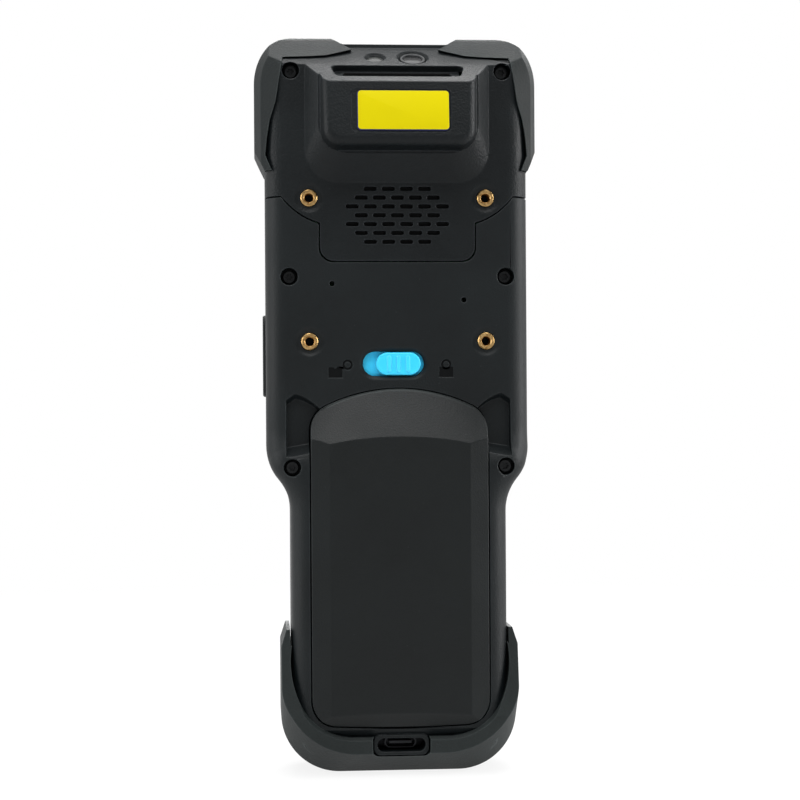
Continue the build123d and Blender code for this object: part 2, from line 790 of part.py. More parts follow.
with BuildPart() as scanner_cover:
    add(outer_rear)
    add(hump_form(0, hump_round))
    add(inner_rear, mode=Mode.SUBTRACT)
    add(hump_form(wall, 0), mode=Mode.SUBTRACT)
    add(hood.part)
    add(bosses.part)
    # two ribs that carry the scan engine
    with BuildSketch(at_y(rib_y)):
        with Locations((-engine_width / 3, engine_z), (engine_width / 3, engine_z)):
            Rectangle(rib_thick, engine_high - rib_high)
    extrude(amount=rib_high)
    add(cover_zone(joint_gap), mode=Mode.INTERSECT)
    add(screw_ways.part, mode=Mode.SUBTRACT)
    add(insert_seats.part, mode=Mode.SUBTRACT)
    # speaker grille
    with BuildSketch(at_y(inner_back_y)):
        for row, count in enumerate(grille_counts):
            with Locations((0, grille_top_z - row * grille_pitch_z)):
                with GridLocations(grille_pitch_x, 1, count, 1):
                    SlotOverall(grille_slot, grille_slot_high)
    extrude(amount=wall + over, mode=Mode.SUBTRACT)
    # scan slot: a wide mouth in the slope over a straight duct down to the window
    with BuildSketch(slot_plane):
        with BuildLine():
            Polyline(
                (-slot_low_width / 2, -slot_high / 2),
                (slot_low_width / 2, -slot_high / 2),
                (slot_top_width / 2, slot_high / 2),
                (-slot_top_width / 2, slot_high / 2),
                close=True,
            )
        make_face()
        fillet(vertices(), slot_round)
    extrude(amount=-duct_mouth_deep, mode=Mode.SUBTRACT)
    with BuildSketch(Plane.XY.offset(window_z + window_thick)):
        with Locations((0, duct_y)):
            Rectangle(duct_width, duct_high)
    extrude(amount=brow_z - window_z - window_thick, mode=Mode.SUBTRACT)
    with BuildSketch(Plane.XY.offset(window_z)):
        with Locations((0, duct_y)):
            Rectangle(window_width + 2 * thread_clearance, duct_high + 2 * thread_clearance)
    extrude(amount=window_thick, mode=Mode.SUBTRACT)
    with BuildSketch(Plane.XY.offset(hood_low_z - over)):
        with Locations((0, duct_y)):
            Rectangle(duct_width - 2 * window_ledge, duct_high - 2 * window_ledge)
    extrude(amount=duct_wall + 2 * over, mode=Mode.SUBTRACT)
    # dished seats of the camera and the flash
    for x, radius in ((camera_x, camera_r), (flash_x, flash_r)):
        with BuildSketch(eye_plane(x, 0)):
            Circle(radius + dish_depth)
        extrude(amount=-dish_depth, taper=45, mode=Mode.SUBTRACT)
        with BuildSketch(eye_plane(x, 0)):
            Circle(radius)
        extrude(amount=-2 * wall, mode=Mode.SUBTRACT)
    # shallow seat of the label
    with BuildSketch(label_plane):
        with Locations((-label_seat_tab / 2, 0)):
            RectangleRounded(
                label_width + label_seat_tab + 2 * label_margin,
                label_high + 2 * label_margin,
                label_round + label_margin,
            )
    extrude(amount=-label_thick, mode=Mode.SUBTRACT)
scanner_cover.part.label = "scanner_cover"
export_step(scanner_cover.part, "parts/scanner_cover.step")

with BuildPart() as scan_window:
    with BuildSketch(Plane.XY.offset(window_z)):
        with Locations((0, duct_y)):
            Rectangle(window_width, duct_high)
    extrude(amount=window_thick)
scan_window.part.label = "scan_window"
export_step(scan_window.part, "parts/scan_window.step")

with BuildPart() as label_plate:
    with BuildSketch(label_plane.offset(-label_thick)):
        RectangleRounded(label_width, label_high, label_round)
    extrude(amount=label_thick)
label_plate.part.label = "label_plate"
export_step(label_plate.part, "parts/label_plate.step")

for name, x, radius in (("camera_lens", camera_x, camera_r), ("flash_lens", flash_x, flash_r)):
    with BuildPart() as lens:
        with BuildSketch(eye_plane(x, dish_depth + lens_thick)):
            Circle(radius - thread_clearance)
        extrude(amount=lens_thick)
    lens.part.label = name
    export_step(lens.part, f"parts/{name}.step")

# ================================================================ fasteners
with BuildPart() as threaded_inserts:
    with BuildSketch(at_y(back_y + insert_length - insert_proud)):
        with Locations(*mirrored([(insert_half_x, insert_low_z), (insert_half_x, insert_high_z)])):
            Circle(insert_r)
            Circle(insert_bore_r, mode=Mode.SUBTRACT)
    extrude(amount=insert_length)
    bore_edges = threaded_inserts.edges().filter_by(GeomType.CIRCLE).group_by(Axis.Y)[0]
    chamfer(bore_edges, insert_chamfer)
threaded_inserts.part.label = "threaded_inserts"
export_step(threaded_inserts.part, "parts/threaded_inserts.step")


def case_screws_at(places, seat_y):
    """Pan head screws with a six-lobed socket, seated at depth seat_y."""
    with BuildPart() as screws:
        with BuildSketch(at_y(seat_y)):
            with Locations(*mirrored(places)):
                Circle(screw_head_r)
        extrude(amount=screw_head_high)
        crown = screws.edges().filter_by(GeomType.CIRCLE).group_by(Axis.Y)[0]
        fillet(crown, screw_head_round)
        with BuildSketch(at_y(seat_y + screw_length)):
            with Locations(*mirrored(places)):
                Circle(screw_r - thread_clearance)
        extrude(amount=screw_length)
        with BuildSketch(at_y(seat_y - screw_head_high + socket_deep)):
            with Locations(*mirrored(places)):
                Circle(socket_r)
                with PolarLocations(socket_r, 6):
                    Circle(socket_lobe_r)
        extrude(amount=screw_head_high, mode=Mode.SUBTRACT)
    return screws.part


with BuildPart() as case_screws:
    add(case_screws_at(upper_screws + middle_screws, screw_seat_y))
    add(case_screws_at(waist_screws, waist_seat_y))
case_screws.part.label = "case_screws"
export_step(case_screws.part, "parts/case_screws.step")

# ================================================================ latch
plate_front_y = knob_seat_y + latch_plate_thick
knob_face_y = back_y - latch_knob_proud
tongue_end_z = battery_top_z + battery_gap + tongue_gap
with BuildPart() as latch_slider:
    with BuildSketch(at_y(plate_front_y)):
        with Locations((0, latch_z)):
            RectangleRounded(2 * latch_plate_half, latch_plate_high, latch_plate_round)
    extrude(amount=latch_plate_thick)
    with BuildSketch(at_y(knob_seat_y)):
        with Locations((0, latch_z)):
            SlotOverall(latch_knob_width, latch_knob_high)
    extrude(amount=knob_seat_y - knob_face_y)
    knob_rim = latch_slider.faces().sort_by(Axis.Y)[0].edges()
    fillet(knob_rim, latch_knob_round)
    with BuildSketch(at_y(knob_face_y)):
        with Locations((0, latch_z)):
            with GridLocations(latch_rib_pitch, 1, 3, 1):
                SlotOverall(latch_rib_long, latch_rib_wide, rotation=90)
    extrude(amount=latch_rib_proud)
    rib_rims = latch_slider.faces().group_by(Axis.Y)[0].edges()
    fillet(rib_rims, latch_rib_round)
    with BuildSketch(at_y(plate_front_y)):
        with Locations((0, (tongue_end_z + latch_z) / 2)):
            Rectangle(latch_tongue_width, latch_z - tongue_end_z)
    extrude(amount=latch_plate_thick)
latch_slider.part.label = "latch_slider"
export_step(latch_slider.part, "parts/latch_slider.step")

# a bent wire spring that snaps the slider to either end of its slot
spring_seat_z = latch_z + latch_plate_high / 2 + clearance
spring_y = knob_seat_y + latch_plate_thick / 2
with BuildPart() as latch_spring:
    with BuildLine():
        spring_line = ThreePointArc(
            (-spring_half, spring_y, spring_seat_z + spring_wire_r + spring_bow),
            (0, spring_y, spring_seat_z + spring_wire_r),
            (spring_half, spring_y, spring_seat_z + spring_wire_r + spring_bow),
        )
    with BuildSketch(Plane(origin=spring_line @ 0, z_dir=spring_line % 0)):
        Circle(spring_wire_r)
    sweep()
latch_spring.part.label = "latch_spring"
export_step(latch_spring.part, "parts/latch_spring.step")

# ================================================================ battery
crescent_half = battery_width / 2 + 3 * over


def crescent_section(y, middle_z, side_z):
    """Area under an arc that passes middle_z on the centre line and side_z at the battery's side."""
    drop = (middle_z - side_z) * (crescent_half / (battery_width / 2)) ** 2
    with BuildSketch(at_y(y)) as section:
        with BuildLine():
            Polyline(
                (-crescent_half, middle_z - drop), (-crescent_half, 0), (crescent_half, 0),
                (crescent_half, middle_z - drop),
            )
            ThreePointArc(
                (crescent_half, middle_z - drop), (0, middle_z), (-crescent_half, middle_z - drop)
            )
        make_face()
    return section.sketch


edge_y = battery_face_y + battery_edge
crown_half = battery_width / 2 - battery_edge_run
lip_top_y = back_y - slope_foot
slope_top_y = battery_face_y - slope_overrun * battery_rise / (battery_top_z - crescent_face_z)
with BuildPart() as thumb_slope:
    # from the back of the case up to the battery's face, under a crescent
    add(crescent_section(slope_top_y, crescent_face_z - slope_overrun, crescent_face_side_z - slope_overrun))
    add(crescent_section(lip_top_y, battery_top_z - slope_foot, battery_shoulder_z - slope_side_foot))
    loft(ruled=True)
    extrude(
        crescent_section(battery_inner_y, battery_top_z + 5 * over, battery_top_z + 4 * over),
        amount=battery_inner_y - lip_top_y,
    )
with BuildPart() as battery_form:
    extrude(battery_outline(battery_inner_y, 0), amount=battery_inner_y - battery_face_y)
    add(thumb_slope.part, mode=Mode.INTERSECT)
    # crowned face with sides that fall away
    with BuildSketch(Plane.XY):
        with BuildLine():
            crown = ThreePointArc(
                (-crown_half, battery_face_y + battery_crown),
                (0, battery_face_y),
                (crown_half, battery_face_y + battery_crown),
            )
            Polyline(
                crown @ 1,
                (battery_width / 2, edge_y),
                (battery_width / 2, battery_inner_y),
                (-battery_width / 2, battery_inner_y),
                (-battery_width / 2, edge_y),
                crown @ 0,
            )
        make_face()
    extrude(amount=battery_top_z + over, mode=Mode.INTERSECT)
    # the face turns in at the toe, and the inner block is shorter than the lip
    with BuildSketch(from_side(-battery_width / 2 - over)):
        with BuildLine():
            Polyline(
                (battery_inner_y, battery_low_z - over),
                (battery_face_y + battery_toe, battery_low_z - over),
                (battery_face_y + battery_toe, battery_low_z),
                (battery_face_y, battery_toe_z),
                (battery_face_y, battery_top_z + over),
                (battery_lip_y, battery_top_z + over),
                (battery_lip_y, battery_block_z),
                (battery_inner_y, battery_block_z),
                close=True,
            )
        make_face()
    extrude(amount=battery_width + 2 * over, mode=Mode.INTERSECT)

cell_bay_y = battery_face_y + battery_edge + battery_shell
cell_bay_top_z = crescent_face_side_z + battery_shell
base_y = battery_inner_y - battery_base_thick
base_top_z = battery_block_z - battery_shell

with BuildPart() as cell_bay:
    extrude(battery_outline(battery_inner_y, -2 * battery_shell), amount=battery_inner_y - cell_bay_y)
    add(below(cell_bay_top_z), mode=Mode.INTERSECT)

with BuildPart() as battery_base:
    extrude(battery_outline(battery_inner_y, -battery_shell), amount=battery_base_thick)
    add(below(base_top_z), mode=Mode.INTERSECT)

# two thumb grooves follow the arch of the top edge, sunk into the thumb slope
with BuildPart() as thumb_grooves:
    with BuildSketch(at_y(lip_top_y)):
        for down in groove_offsets:
            with BuildLine(at_y(lip_top_y)):
                groove = ThreePointArc(
                    (-groove_half, battery_top_z - down - groove_fall),
                    (0, battery_top_z - down),
                    (groove_half, battery_top_z - down - groove_fall),
                )
            trace(groove, line_width=groove_wide)
    extrude(amount=battery_rise)
    add(battery_form.part.moved(Location((0, groove_deep, 0))), mode=Mode.SUBTRACT)

with BuildPart() as battery_cover:
    add(battery_form.part)
    add(cell_bay.part, mode=Mode.SUBTRACT)
    add(battery_base.part, mode=Mode.SUBTRACT)
    add(thumb_grooves.part, mode=Mode.SUBTRACT)
battery_cover.part.label = "battery_cover"
export_step(battery_cover.part, "parts/battery_cover.step")

with BuildPart() as battery_contacts:
    with BuildSketch(at_y(battery_inner_y)):
        with Locations((0, contact_z)):
            with GridLocations(contact_pitch, 1, contact_count, 1):
                Rectangle(contact_wide, contact_high)
    extrude(amount=contact_thick)
battery_contacts.part.label = "battery_contacts"
export_step(battery_contacts.part, "parts/battery_contacts.step")

with BuildPart() as battery_base_cut:
    add(battery_base.part)
    add(battery_contacts.part, mode=Mode.SUBTRACT)
battery_base_cut.part.label = "battery_base"
export_step(battery_base_cut.part, "parts/battery_base.step")

# two flat cells stand side by side in the bay, against the base
cell_half = battery_width / 2 - 2 * battery_shell - clearance
cell_low_z = battery_low_z + battery_low_corner
cell_top_z = cell_bay_top_z - clearance
with BuildPart() as battery_cells:
    with BuildSketch(at_y(base_y)):
        with Locations((0, (cell_low_z + cell_top_z) / 2)):
            with GridLocations(cell_half + clearance / 2, 1, 2, 1):
                RectangleRounded(cell_half - clearance, cell_top_z - cell_low_z, cell_round)
    extrude(amount=base_y - cell_bay_y - clearance)
battery_cells.part.label = "battery_cells"
export_step(battery_cells.part, "parts/battery_cells.step")

# spring pins under the floor of the bay meet the contacts of the battery
with BuildPart() as battery_connector:
    with BuildSketch(at_y(tray_floor_y + tray_wall + connector_thick)):
        with Locations((0, contact_z)):
            Rectangle(contact_pitch * contact_count + contact_wide, contact_high + contact_wide)
    extrude(amount=connector_thick)
    with BuildSketch(at_y(tray_floor_y + tray_wall)):
        with Locations((0, contact_z)):
            with GridLocations(contact_pitch, 1, contact_count, 1):
                Circle(pin_r)
    extrude(amount=tray_wall + clearance / 2)
battery_connector.part.label = "battery_connector"
export_step(battery_connector.part, "parts/battery_connector.step")

# ================================================================ front housing
with BuildPart() as front_form:
    extrude(case_outline(seam_y, 0, front_top_z), amount=seam_y - front_y)
    front_edges = front_form.faces().sort_by(Axis.Y)[-1].edges()
    fillet(front_edges, front_round)

front_inner_y = front_y - front_wall
ledge_y = front_y - glass_thick - ledge_thick
outer_front = front_form.part
trigger_mid_z = (trigger_low_z + trigger_high_z) / 2
trigger_long = trigger_high_z - trigger_low_z


def key_spots():
    """Name, x, z, width, height and corner radius of every key, in reading order from the front."""
    spots = [
        ("key_scan", 0, pad_z, scan_key_width, scan_key_high, scan_key_round),
        ("key_up", 0, pad_z + arrow_reach_z, *upright_arrow, key_round),
        ("key_down", 0, pad_z - arrow_reach_z, *upright_arrow, key_round),
        ("key_left", arrow_reach_x, pad_z, *sideways_arrow, key_round),
        ("key_right", -arrow_reach_x, pad_z, *sideways_arrow, key_round),
    ]
    for row, names in enumerate(keypad_rows):
        for column, name in enumerate(names):
            x = (1.5 - column) * key_pitch_x
            spots.append((name, x, key_low_row_z + row * key_pitch_z, key_width, key_high, key_round))
    return spots


with BuildPart() as front_housing:
    add(outer_front)
    extrude(case_outline(seam_y, wall, front_top_z), amount=seam_y - front_inner_y, mode=Mode.SUBTRACT)
    # ledge that carries the glass
    with BuildSketch(at_y(front_inner_y)):
        with Locations((0, glass_z)):
            Rectangle(2 * (body_half - wall / 2), glass_length + 2 * ledge_margin)
    extrude(amount=front_inner_y - ledge_y)
    # bosses that the case screws bite into, and posts that carry the boards
    with BuildSketch(at_y(seam_y)):
        with Locations(*mirrored(upper_screws + middle_screws + waist_screws)):
            Circle(boss_r)
    extrude(amount=seam_y - front_inner_y)
    with BuildSketch(at_y(main_board_y + board_thick)):
        with Locations(*mirrored(main_posts)):
            Circle(post_r)
    extrude(amount=main_board_y + board_thick - front_inner_y)
    with BuildSketch(at_y(keypad_board_y + board_thick)):
        with Locations(*mirrored(keypad_posts)):
            Circle(post_r)
    extrude(amount=keypad_board_y + board_thick - front_inner_y)
    add(outer_front, mode=Mode.INTERSECT)
    with BuildSketch(at_y(seam_y)):
        with Locations(*mirrored(upper_screws + middle_screws + waist_screws)):
            Circle(screw_r)
    extrude(amount=-screw_length, mode=Mode.SUBTRACT)
    # recess of the glass, and the window to the display
    with BuildSketch(at_y(front_y)):
        with Locations((0, glass_z)):
            RectangleRounded(
                glass_width + 2 * glass_gap, glass_length + 2 * glass_gap, glass_round + glass_gap
            )
    extrude(amount=glass_thick, mode=Mode.SUBTRACT)
    with BuildSketch(at_y(front_y)):
        with Locations((0, glass_z)):
            Rectangle(lcd_width + 2 * glass_gap, lcd_length + 2 * glass_gap)
    extrude(amount=front_y - ledge_y + over, mode=Mode.SUBTRACT)
    # earpiece slots
    with BuildSketch(at_y(front_y)):
        with Locations((0, earpiece_z)):
            SlotOverall(earpiece_wide, earpiece_high)
    extrude(amount=front_wall + ledge_thick, mode=Mode.SUBTRACT)
    # key openings
    with BuildSketch(at_y(front_y)):
        for name, x, z, width, high, corner in key_spots():
            with Locations((x, z)):
                RectangleRounded(width + 2 * clearance, high + 2 * clearance, corner + clearance)
    extrude(amount=front_wall + over, mode=Mode.SUBTRACT)
    # openings of the side triggers
    with BuildSketch(from_side(-body_half - over)):
        with Locations((trigger_y, trigger_mid_z)):
            SlotOverall(trigger_long + 2 * clearance, trigger_wide + 2 * clearance, rotation=90)
    extrude(amount=2 * (body_half + over), mode=Mode.SUBTRACT)
front_housing.part.label = "front_housing"
export_step(front_housing.part, "parts/front_housing.step")

# ================================================================ keys
for name, x, z, width, high, corner in key_spots():
    with BuildPart() as key:
        with BuildSketch(at_y(key_top_y)):
            with Locations((x, z)):
                RectangleRounded(width, high, corner)
        extrude(amount=key_top_y - key_foot_y)
        fillet(key.faces().sort_by(Axis.Y)[-1].edges(), key_edge)
        with BuildSketch(at_y(front_inner_y - clearance)):
            with Locations((x, z)):
                RectangleRounded(width + 2 * key_flange, high + 2 * key_flange, corner + key_flange)
        extrude(amount=key_flange_thick)
    key.part.label = name
    export_step(key.part, f"parts/{name}.step")

with BuildPart() as keypad_pad:
    # rubber sheet with a snap dome under every key, lying on the keypad board
    with BuildSketch(at_y(keypad_board_y + board_thick + pad_thick)):
        with Locations((0, keypad_board_z)):
            Rectangle(keypad_board_width - 2 * pad_inset, keypad_board_length)
    extrude(amount=pad_thick)
keypad_pad.part.label = "keypad_pad"
export_step(keypad_pad.part, "parts/keypad_pad.step")

with BuildPart() as keypad_board:
    with BuildSketch(at_y(keypad_board_y + board_thick)):
        with Locations((0, keypad_board_z)):
            Rectangle(keypad_board_width, keypad_board_length)
    extrude(amount=board_thick)
keypad_board.part.label = "keypad_board"
export_step(keypad_board.part, "parts/keypad_board.step")

# ================================================================ display
with BuildPart() as touch_glass:
    with BuildSketch(at_y(front_y)):
        with Locations((0, glass_z)):
            RectangleRounded(glass_width, glass_length, glass_round)
    extrude(amount=glass_thick)
touch_glass.part.label = "touch_glass"
export_step(touch_glass.part, "parts/touch_glass.step")

with BuildPart() as lcd_module:
    with BuildSketch(at_y(front_y - glass_thick)):
        with Locations((0, glass_z)):
            Rectangle(lcd_width, lcd_length)
    extrude(amount=lcd_thick)
lcd_module.part.label = "lcd_module"
export_step(lcd_module.part, "parts/lcd_module.step")

with BuildPart() as earpiece_grille:
    with BuildSketch(at_y(front_y - front_wall / 3)):
        with Locations((0, earpiece_z)):
            SlotOverall(earpiece_wide - thread_clearance, earpiece_high - thread_clearance)
            with GridLocations(earpiece_pitch, 1, earpiece_count, 1):
                Circle(earpiece_hole_r, mode=Mode.SUBTRACT)
    extrude(amount=front_wall / 3)
earpiece_grille.part.label = "earpiece_grille"
export_step(earpiece_grille.part, "parts/earpiece_grille.step")

# ================================================================ electronics
with BuildPart() as main_board:
    with BuildSketch(at_y(main_board_y + board_thick)):
        with Locations((0, main_board_z)):
            Rectangle(main_board_width, main_board_length)
    extrude(amount=board_thick)
    # shield cans over the radio and the processor
    with BuildSketch(at_y(main_board_y)):
        for x, z, width, high in shields:
            with Locations((x, z)):
                Rectangle(width, high)
    extrude(amount=shield_high)
main_board.part.label = "main_board"
export_step(main_board.part, "parts/main_board.step")

with BuildPart() as speaker:
    with BuildSketch(at_y(inner_back_y + speaker_thick)):
        with Locations((0, grille_top_z - len(grille_counts) // 2 * grille_pitch_z)):
            RectangleRounded(speaker_width, speaker_high, speaker_round)
    extrude(amount=speaker_thick)
speaker.part.label = "speaker"
export_step(speaker.part, "parts/speaker.step")

with BuildPart() as scan_engine:
    with BuildSketch(at_y(rib_y + engine_thick)):
        with Locations((0, engine_z)):
            Rectangle(engine_width, engine_high)
    extrude(amount=engine_thick)
    # objective and aiming lens look up through the window
    with BuildSketch(Plane.XY.offset(engine_z + engine_high / 2 - engine_eye_deep)):
        with Locations((-engine_width / 4, rib_y + engine_thick / 2)):
            Circle(engine_thick / 3)
        with Locations((engine_width / 4, rib_y + engine_thick / 2)):
            Rectangle(engine_thick / 2, engine_thick / 2)
    extrude(amount=engine_eye_deep, mode=Mode.SUBTRACT)
scan_engine.part.label = "scan_engine"
export_step(scan_engine.part, "parts/scan_engine.step")

with BuildPart() as camera_module:
    for x, radius in ((camera_x, camera_r), (flash_x, flash_r)):
        with BuildSketch(eye_plane(x, dish_depth + lens_thick)):
            Circle(radius - clearance)
        extrude(amount=-eye_barrel)
    with BuildSketch(eye_plane((camera_x + flash_x) / 2, dish_depth + lens_thick + eye_barrel)):
        Rectangle(camera_x - flash_x + 2 * camera_r, 2 * camera_r)
    extrude(amount=-board_thick)
camera_module.part.label = "camera_module"
export_step(camera_module.part, "parts/camera_module.step")

with BuildPart() as usb_connector:
    with BuildSketch(at_y(port_board_y)):
        with Locations((0, port_z)):
            SlotOverall(plug_shell_width, plug_shell_high)
            SlotOverall(
                plug_shell_width - 2 * plug_shell_wall,
                plug_shell_high - 2 * plug_shell_wall,
                mode=Mode.SUBTRACT,
            )
            Rectangle(plug_tongue_width, plug_tongue_thick)
    extrude(amount=plug_shell_length)
    with BuildSketch(at_y(port_board_y)):
        with Locations((0, port_z)):
            Rectangle(port_width + 2 * over, port_high + over)
    extrude(amount=board_thick)
usb_connector.part.label = "usb_connector"
export_step(usb_connector.part, "parts/usb_connector.step")

# ================================================================ side triggers
for name, side in (("trigger_left", -1), ("trigger_right", 1)):
    outer_x = body_half + trigger_proud
    flange_x = body_half - wall - clearance
    with BuildPart() as trigger:
        with BuildSketch(from_side(side * outer_x)):
            with Locations((trigger_y, trigger_mid_z)):
                SlotOverall(trigger_long, trigger_wide, rotation=90)
        extrude(amount=-side * (outer_x - flange_x))
        fillet(trigger.faces().sort_by(Axis.X)[0 if side < 0 else -1].edges(), key_edge)
        with BuildSketch(from_side(side * flange_x)):
            with Locations((trigger_y, trigger_mid_z)):
                SlotOverall(trigger_long + 2 * trigger_flange, trigger_wide + 2 * trigger_flange, rotation=90)
        extrude(amount=-side * trigger_flange_thick)
    trigger.part.label = name
    export_step(trigger.part, f"parts/{name}.step")

switch_x = body_half - wall - clearance - trigger_flange_thick - trigger_travel - clearance
with BuildPart() as side_switches:
    for side in (-1, 1):
        with BuildSketch(from_side(side * switch_x)):
            with Locations((trigger_y, trigger_mid_z)):
                Rectangle(switch_wide, switch_long)
        extrude(amount=-side * switch_high)
        with BuildSketch(from_side(side * (switch_x - switch_high))):
            with Locations((trigger_y, trigger_mid_z)):
                Rectangle(switch_strip_wide, trigger_long)
        extrude(amount=-side * switch_strip_thick)
side_switches.part.label = "side_switches"
export_step(side_switches.part, "parts/side_switches.step")

# ================================================================ seal between the case halves
with BuildPart() as housing_seal:
    extrude(case_outline(seam_y + seal_deep, wall + thread_clearance, rear_top_z), amount=seal_deep)
    extrude(
        case_outline(seam_y + seal_deep, wall + thread_clearance + seal_thick, rear_top_z),
        amount=seal_deep,
        mode=Mode.SUBTRACT,
    )
    # it gives way to the bosses of the case screws
    with BuildSketch(at_y(seam_y + seal_deep)):
        with Locations(*mirrored(upper_screws + middle_screws + waist_screws)):
            Circle(boss_r + clearance / 2)
    extrude(amount=seal_deep, mode=Mode.SUBTRACT)
housing_seal.part.label = "housing_seal"
export_step(housing_seal.part, "parts/housing_seal.step")

# ================================================================ corner bumpers
case_form = outer_rear + outer_front
bumper_half = body_half + bumper_side
bumper_top_z = front_top_z + bumper_top
bumper_back_y = back_y - bumper_back


def bumper_outline(y, inset):
    """Outline of both corner bumpers at depth y, drawn in by inset."""
    half = bumper_half - inset
    high = bumper_top_z - inset
    corner_x = bumper_corner_x - inset / 2
    corner_z = bumper_corner_z - inset / 2
    low = bumper_low_z - over
    with BuildSketch(at_y(y)) as outline:
        with BuildLine():
            Polyline((0, high), (0, low), (half, low), (half, high - corner_z))
            EllipticalCenterArc(
                (half - corner_x, high - corner_z), corner_x, corner_z, start_angle=0, arc_size=90
            )
            Line((half - corner_x, high), (0, high))
        make_face()
        mirror(about=Plane.YZ)
    return outline.sketch


crease_y = bumper_back_y + bumper_face_fall
full_y = crease_y + bumper_bevel_deep
with BuildPart() as bumper_slope:
    add(bumper_outline(bumper_back_y, bumper_face_run))
    add(bumper_outline(crease_y, bumper_bevel))
    loft(ruled=True)
with BuildPart() as bumper_edge_bevel:
    add(bumper_outline(crease_y, bumper_bevel))
    add(bumper_outline(full_y, 0))
    loft(ruled=True)
with BuildPart() as bumper_lip:
    add(bumper_outline(lip_y - lip_bevel, 0))
    add(bumper_outline(lip_y, lip_bevel))
    loft(ruled=True)
with BuildPart() as bumper_form:
    add(bumper_slope.part)
    add(bumper_edge_bevel.part)
    add(bumper_lip.part)
    extrude(bumper_outline(lip_y - lip_bevel, 0), amount=lip_y - lip_bevel - full_y)
    # over the top the back follows the scanner slope
    with BuildSketch(from_side(-bumper_half)):
        with BuildLine():
            Polyline(
                (lip_y, bumper_low_z - over),
                (bumper_back_y, bumper_low_z - over),
                (bumper_back_y, bumper_brow_z),
                (bumper_crest_y, bumper_top_z - bumper_bevel / 2),
                (bumper_crest_y + bumper_bevel, bumper_top_z),
                (lip_y, bumper_top_z),
                close=True,
            )
        make_face()
    extrude(amount=2 * bumper_half, mode=Mode.INTERSECT)
    add(case_form, mode=Mode.SUBTRACT)

bumper_edge = [
    (bumper_inner, 203.3), (15.0, 202.4), (19.5, 201.1), (24.0, 200.7), (31.7, 200.4),
    (32.7, 194.2), (33.7, 187.8),
    (35.4, 182.7), (36.2, 177.9), (36.7, 173.0),
    (body_half - bumper_foot, bumper_low_z), (body_half + thread_clearance, bumper_low_z),
]
for name, side in (("corner_bumper_left", -1), ("corner_bumper_right", 1)):
    with BuildPart() as bumper:
        add(bumper_form.part)
        with BuildSketch(at_y(lip_y + over)):
            with BuildLine():
                Polyline(
                    [(side * x, z) for x, z in bumper_edge]
                    + [
                        (side * (bumper_half + over), bumper_low_z + bumper_foot_rise),
                        (side * (bumper_half + over), bumper_top_z + over),
                        (side * (bumper_inner + bumper_inner_slant), bumper_top_z + over),
                    ],
                    close=True,
                )
            make_face()
        extrude(amount=lip_y - bumper_back_y + 2 * over, mode=Mode.INTERSECT)
    bumper.part.label = name
    export_step(bumper.part, f"parts/{name}.step")

# ================================================================ lower boot
boot_half = grip_half + boot_side
boot_band_y = grip_back_y - boot_band_proud


def boot_outline(y, low, corner_x, corner_z, half):
    """Outline of the boot at depth y, with elliptical lower corners and bevelled arm tips."""
    with BuildSketch(at_y(y)) as outline:
        with BuildLine():
            Line((0, low), (half - corner_x, low))
            EllipticalCenterArc(
                (half - corner_x, low + corner_z), corner_x, corner_z, start_angle=-90, arc_size=90
            )
            Polyline(
                (half, low + corner_z),
                (half, boot_shoulder_z),
                (grip_half + boot_side / 2, boot_arm_z),
                (0, boot_arm_z),
                (0, low),
            )
        make_face()
        mirror(about=Plane.YZ)
    return outline.sketch


def full_boot_outline(y, inset):
    """The boot's silhouette at depth y, drawn in by inset."""
    return boot_outline(y, inset, boot_corner - inset, boot_corner - inset, boot_half - inset)


def boot_mouth(y):
    """The U-shaped mouth of the boot at depth y."""
    with BuildSketch(at_y(y)) as outline:
        with BuildLine():
            mouth_floor = Line((0, boot_mouth_z), (boot_mouth_half, boot_mouth_z))
            mouth_corner = TangentArc(mouth_floor @ 1, boot_mouth_turn, tangent=(1, 0))
            mouth_side = TangentArc(
                mouth_corner @ 1, (grip_half, boot_shoulder_z), tangent=mouth_corner % 1
            )
            Polyline(
                mouth_side @ 1, (grip_half, boot_arm_z + over), (0, boot_arm_z + over), (0, boot_mouth_z)
            )
        make_face()
        mirror(about=Plane.YZ)
    return outline.sketch


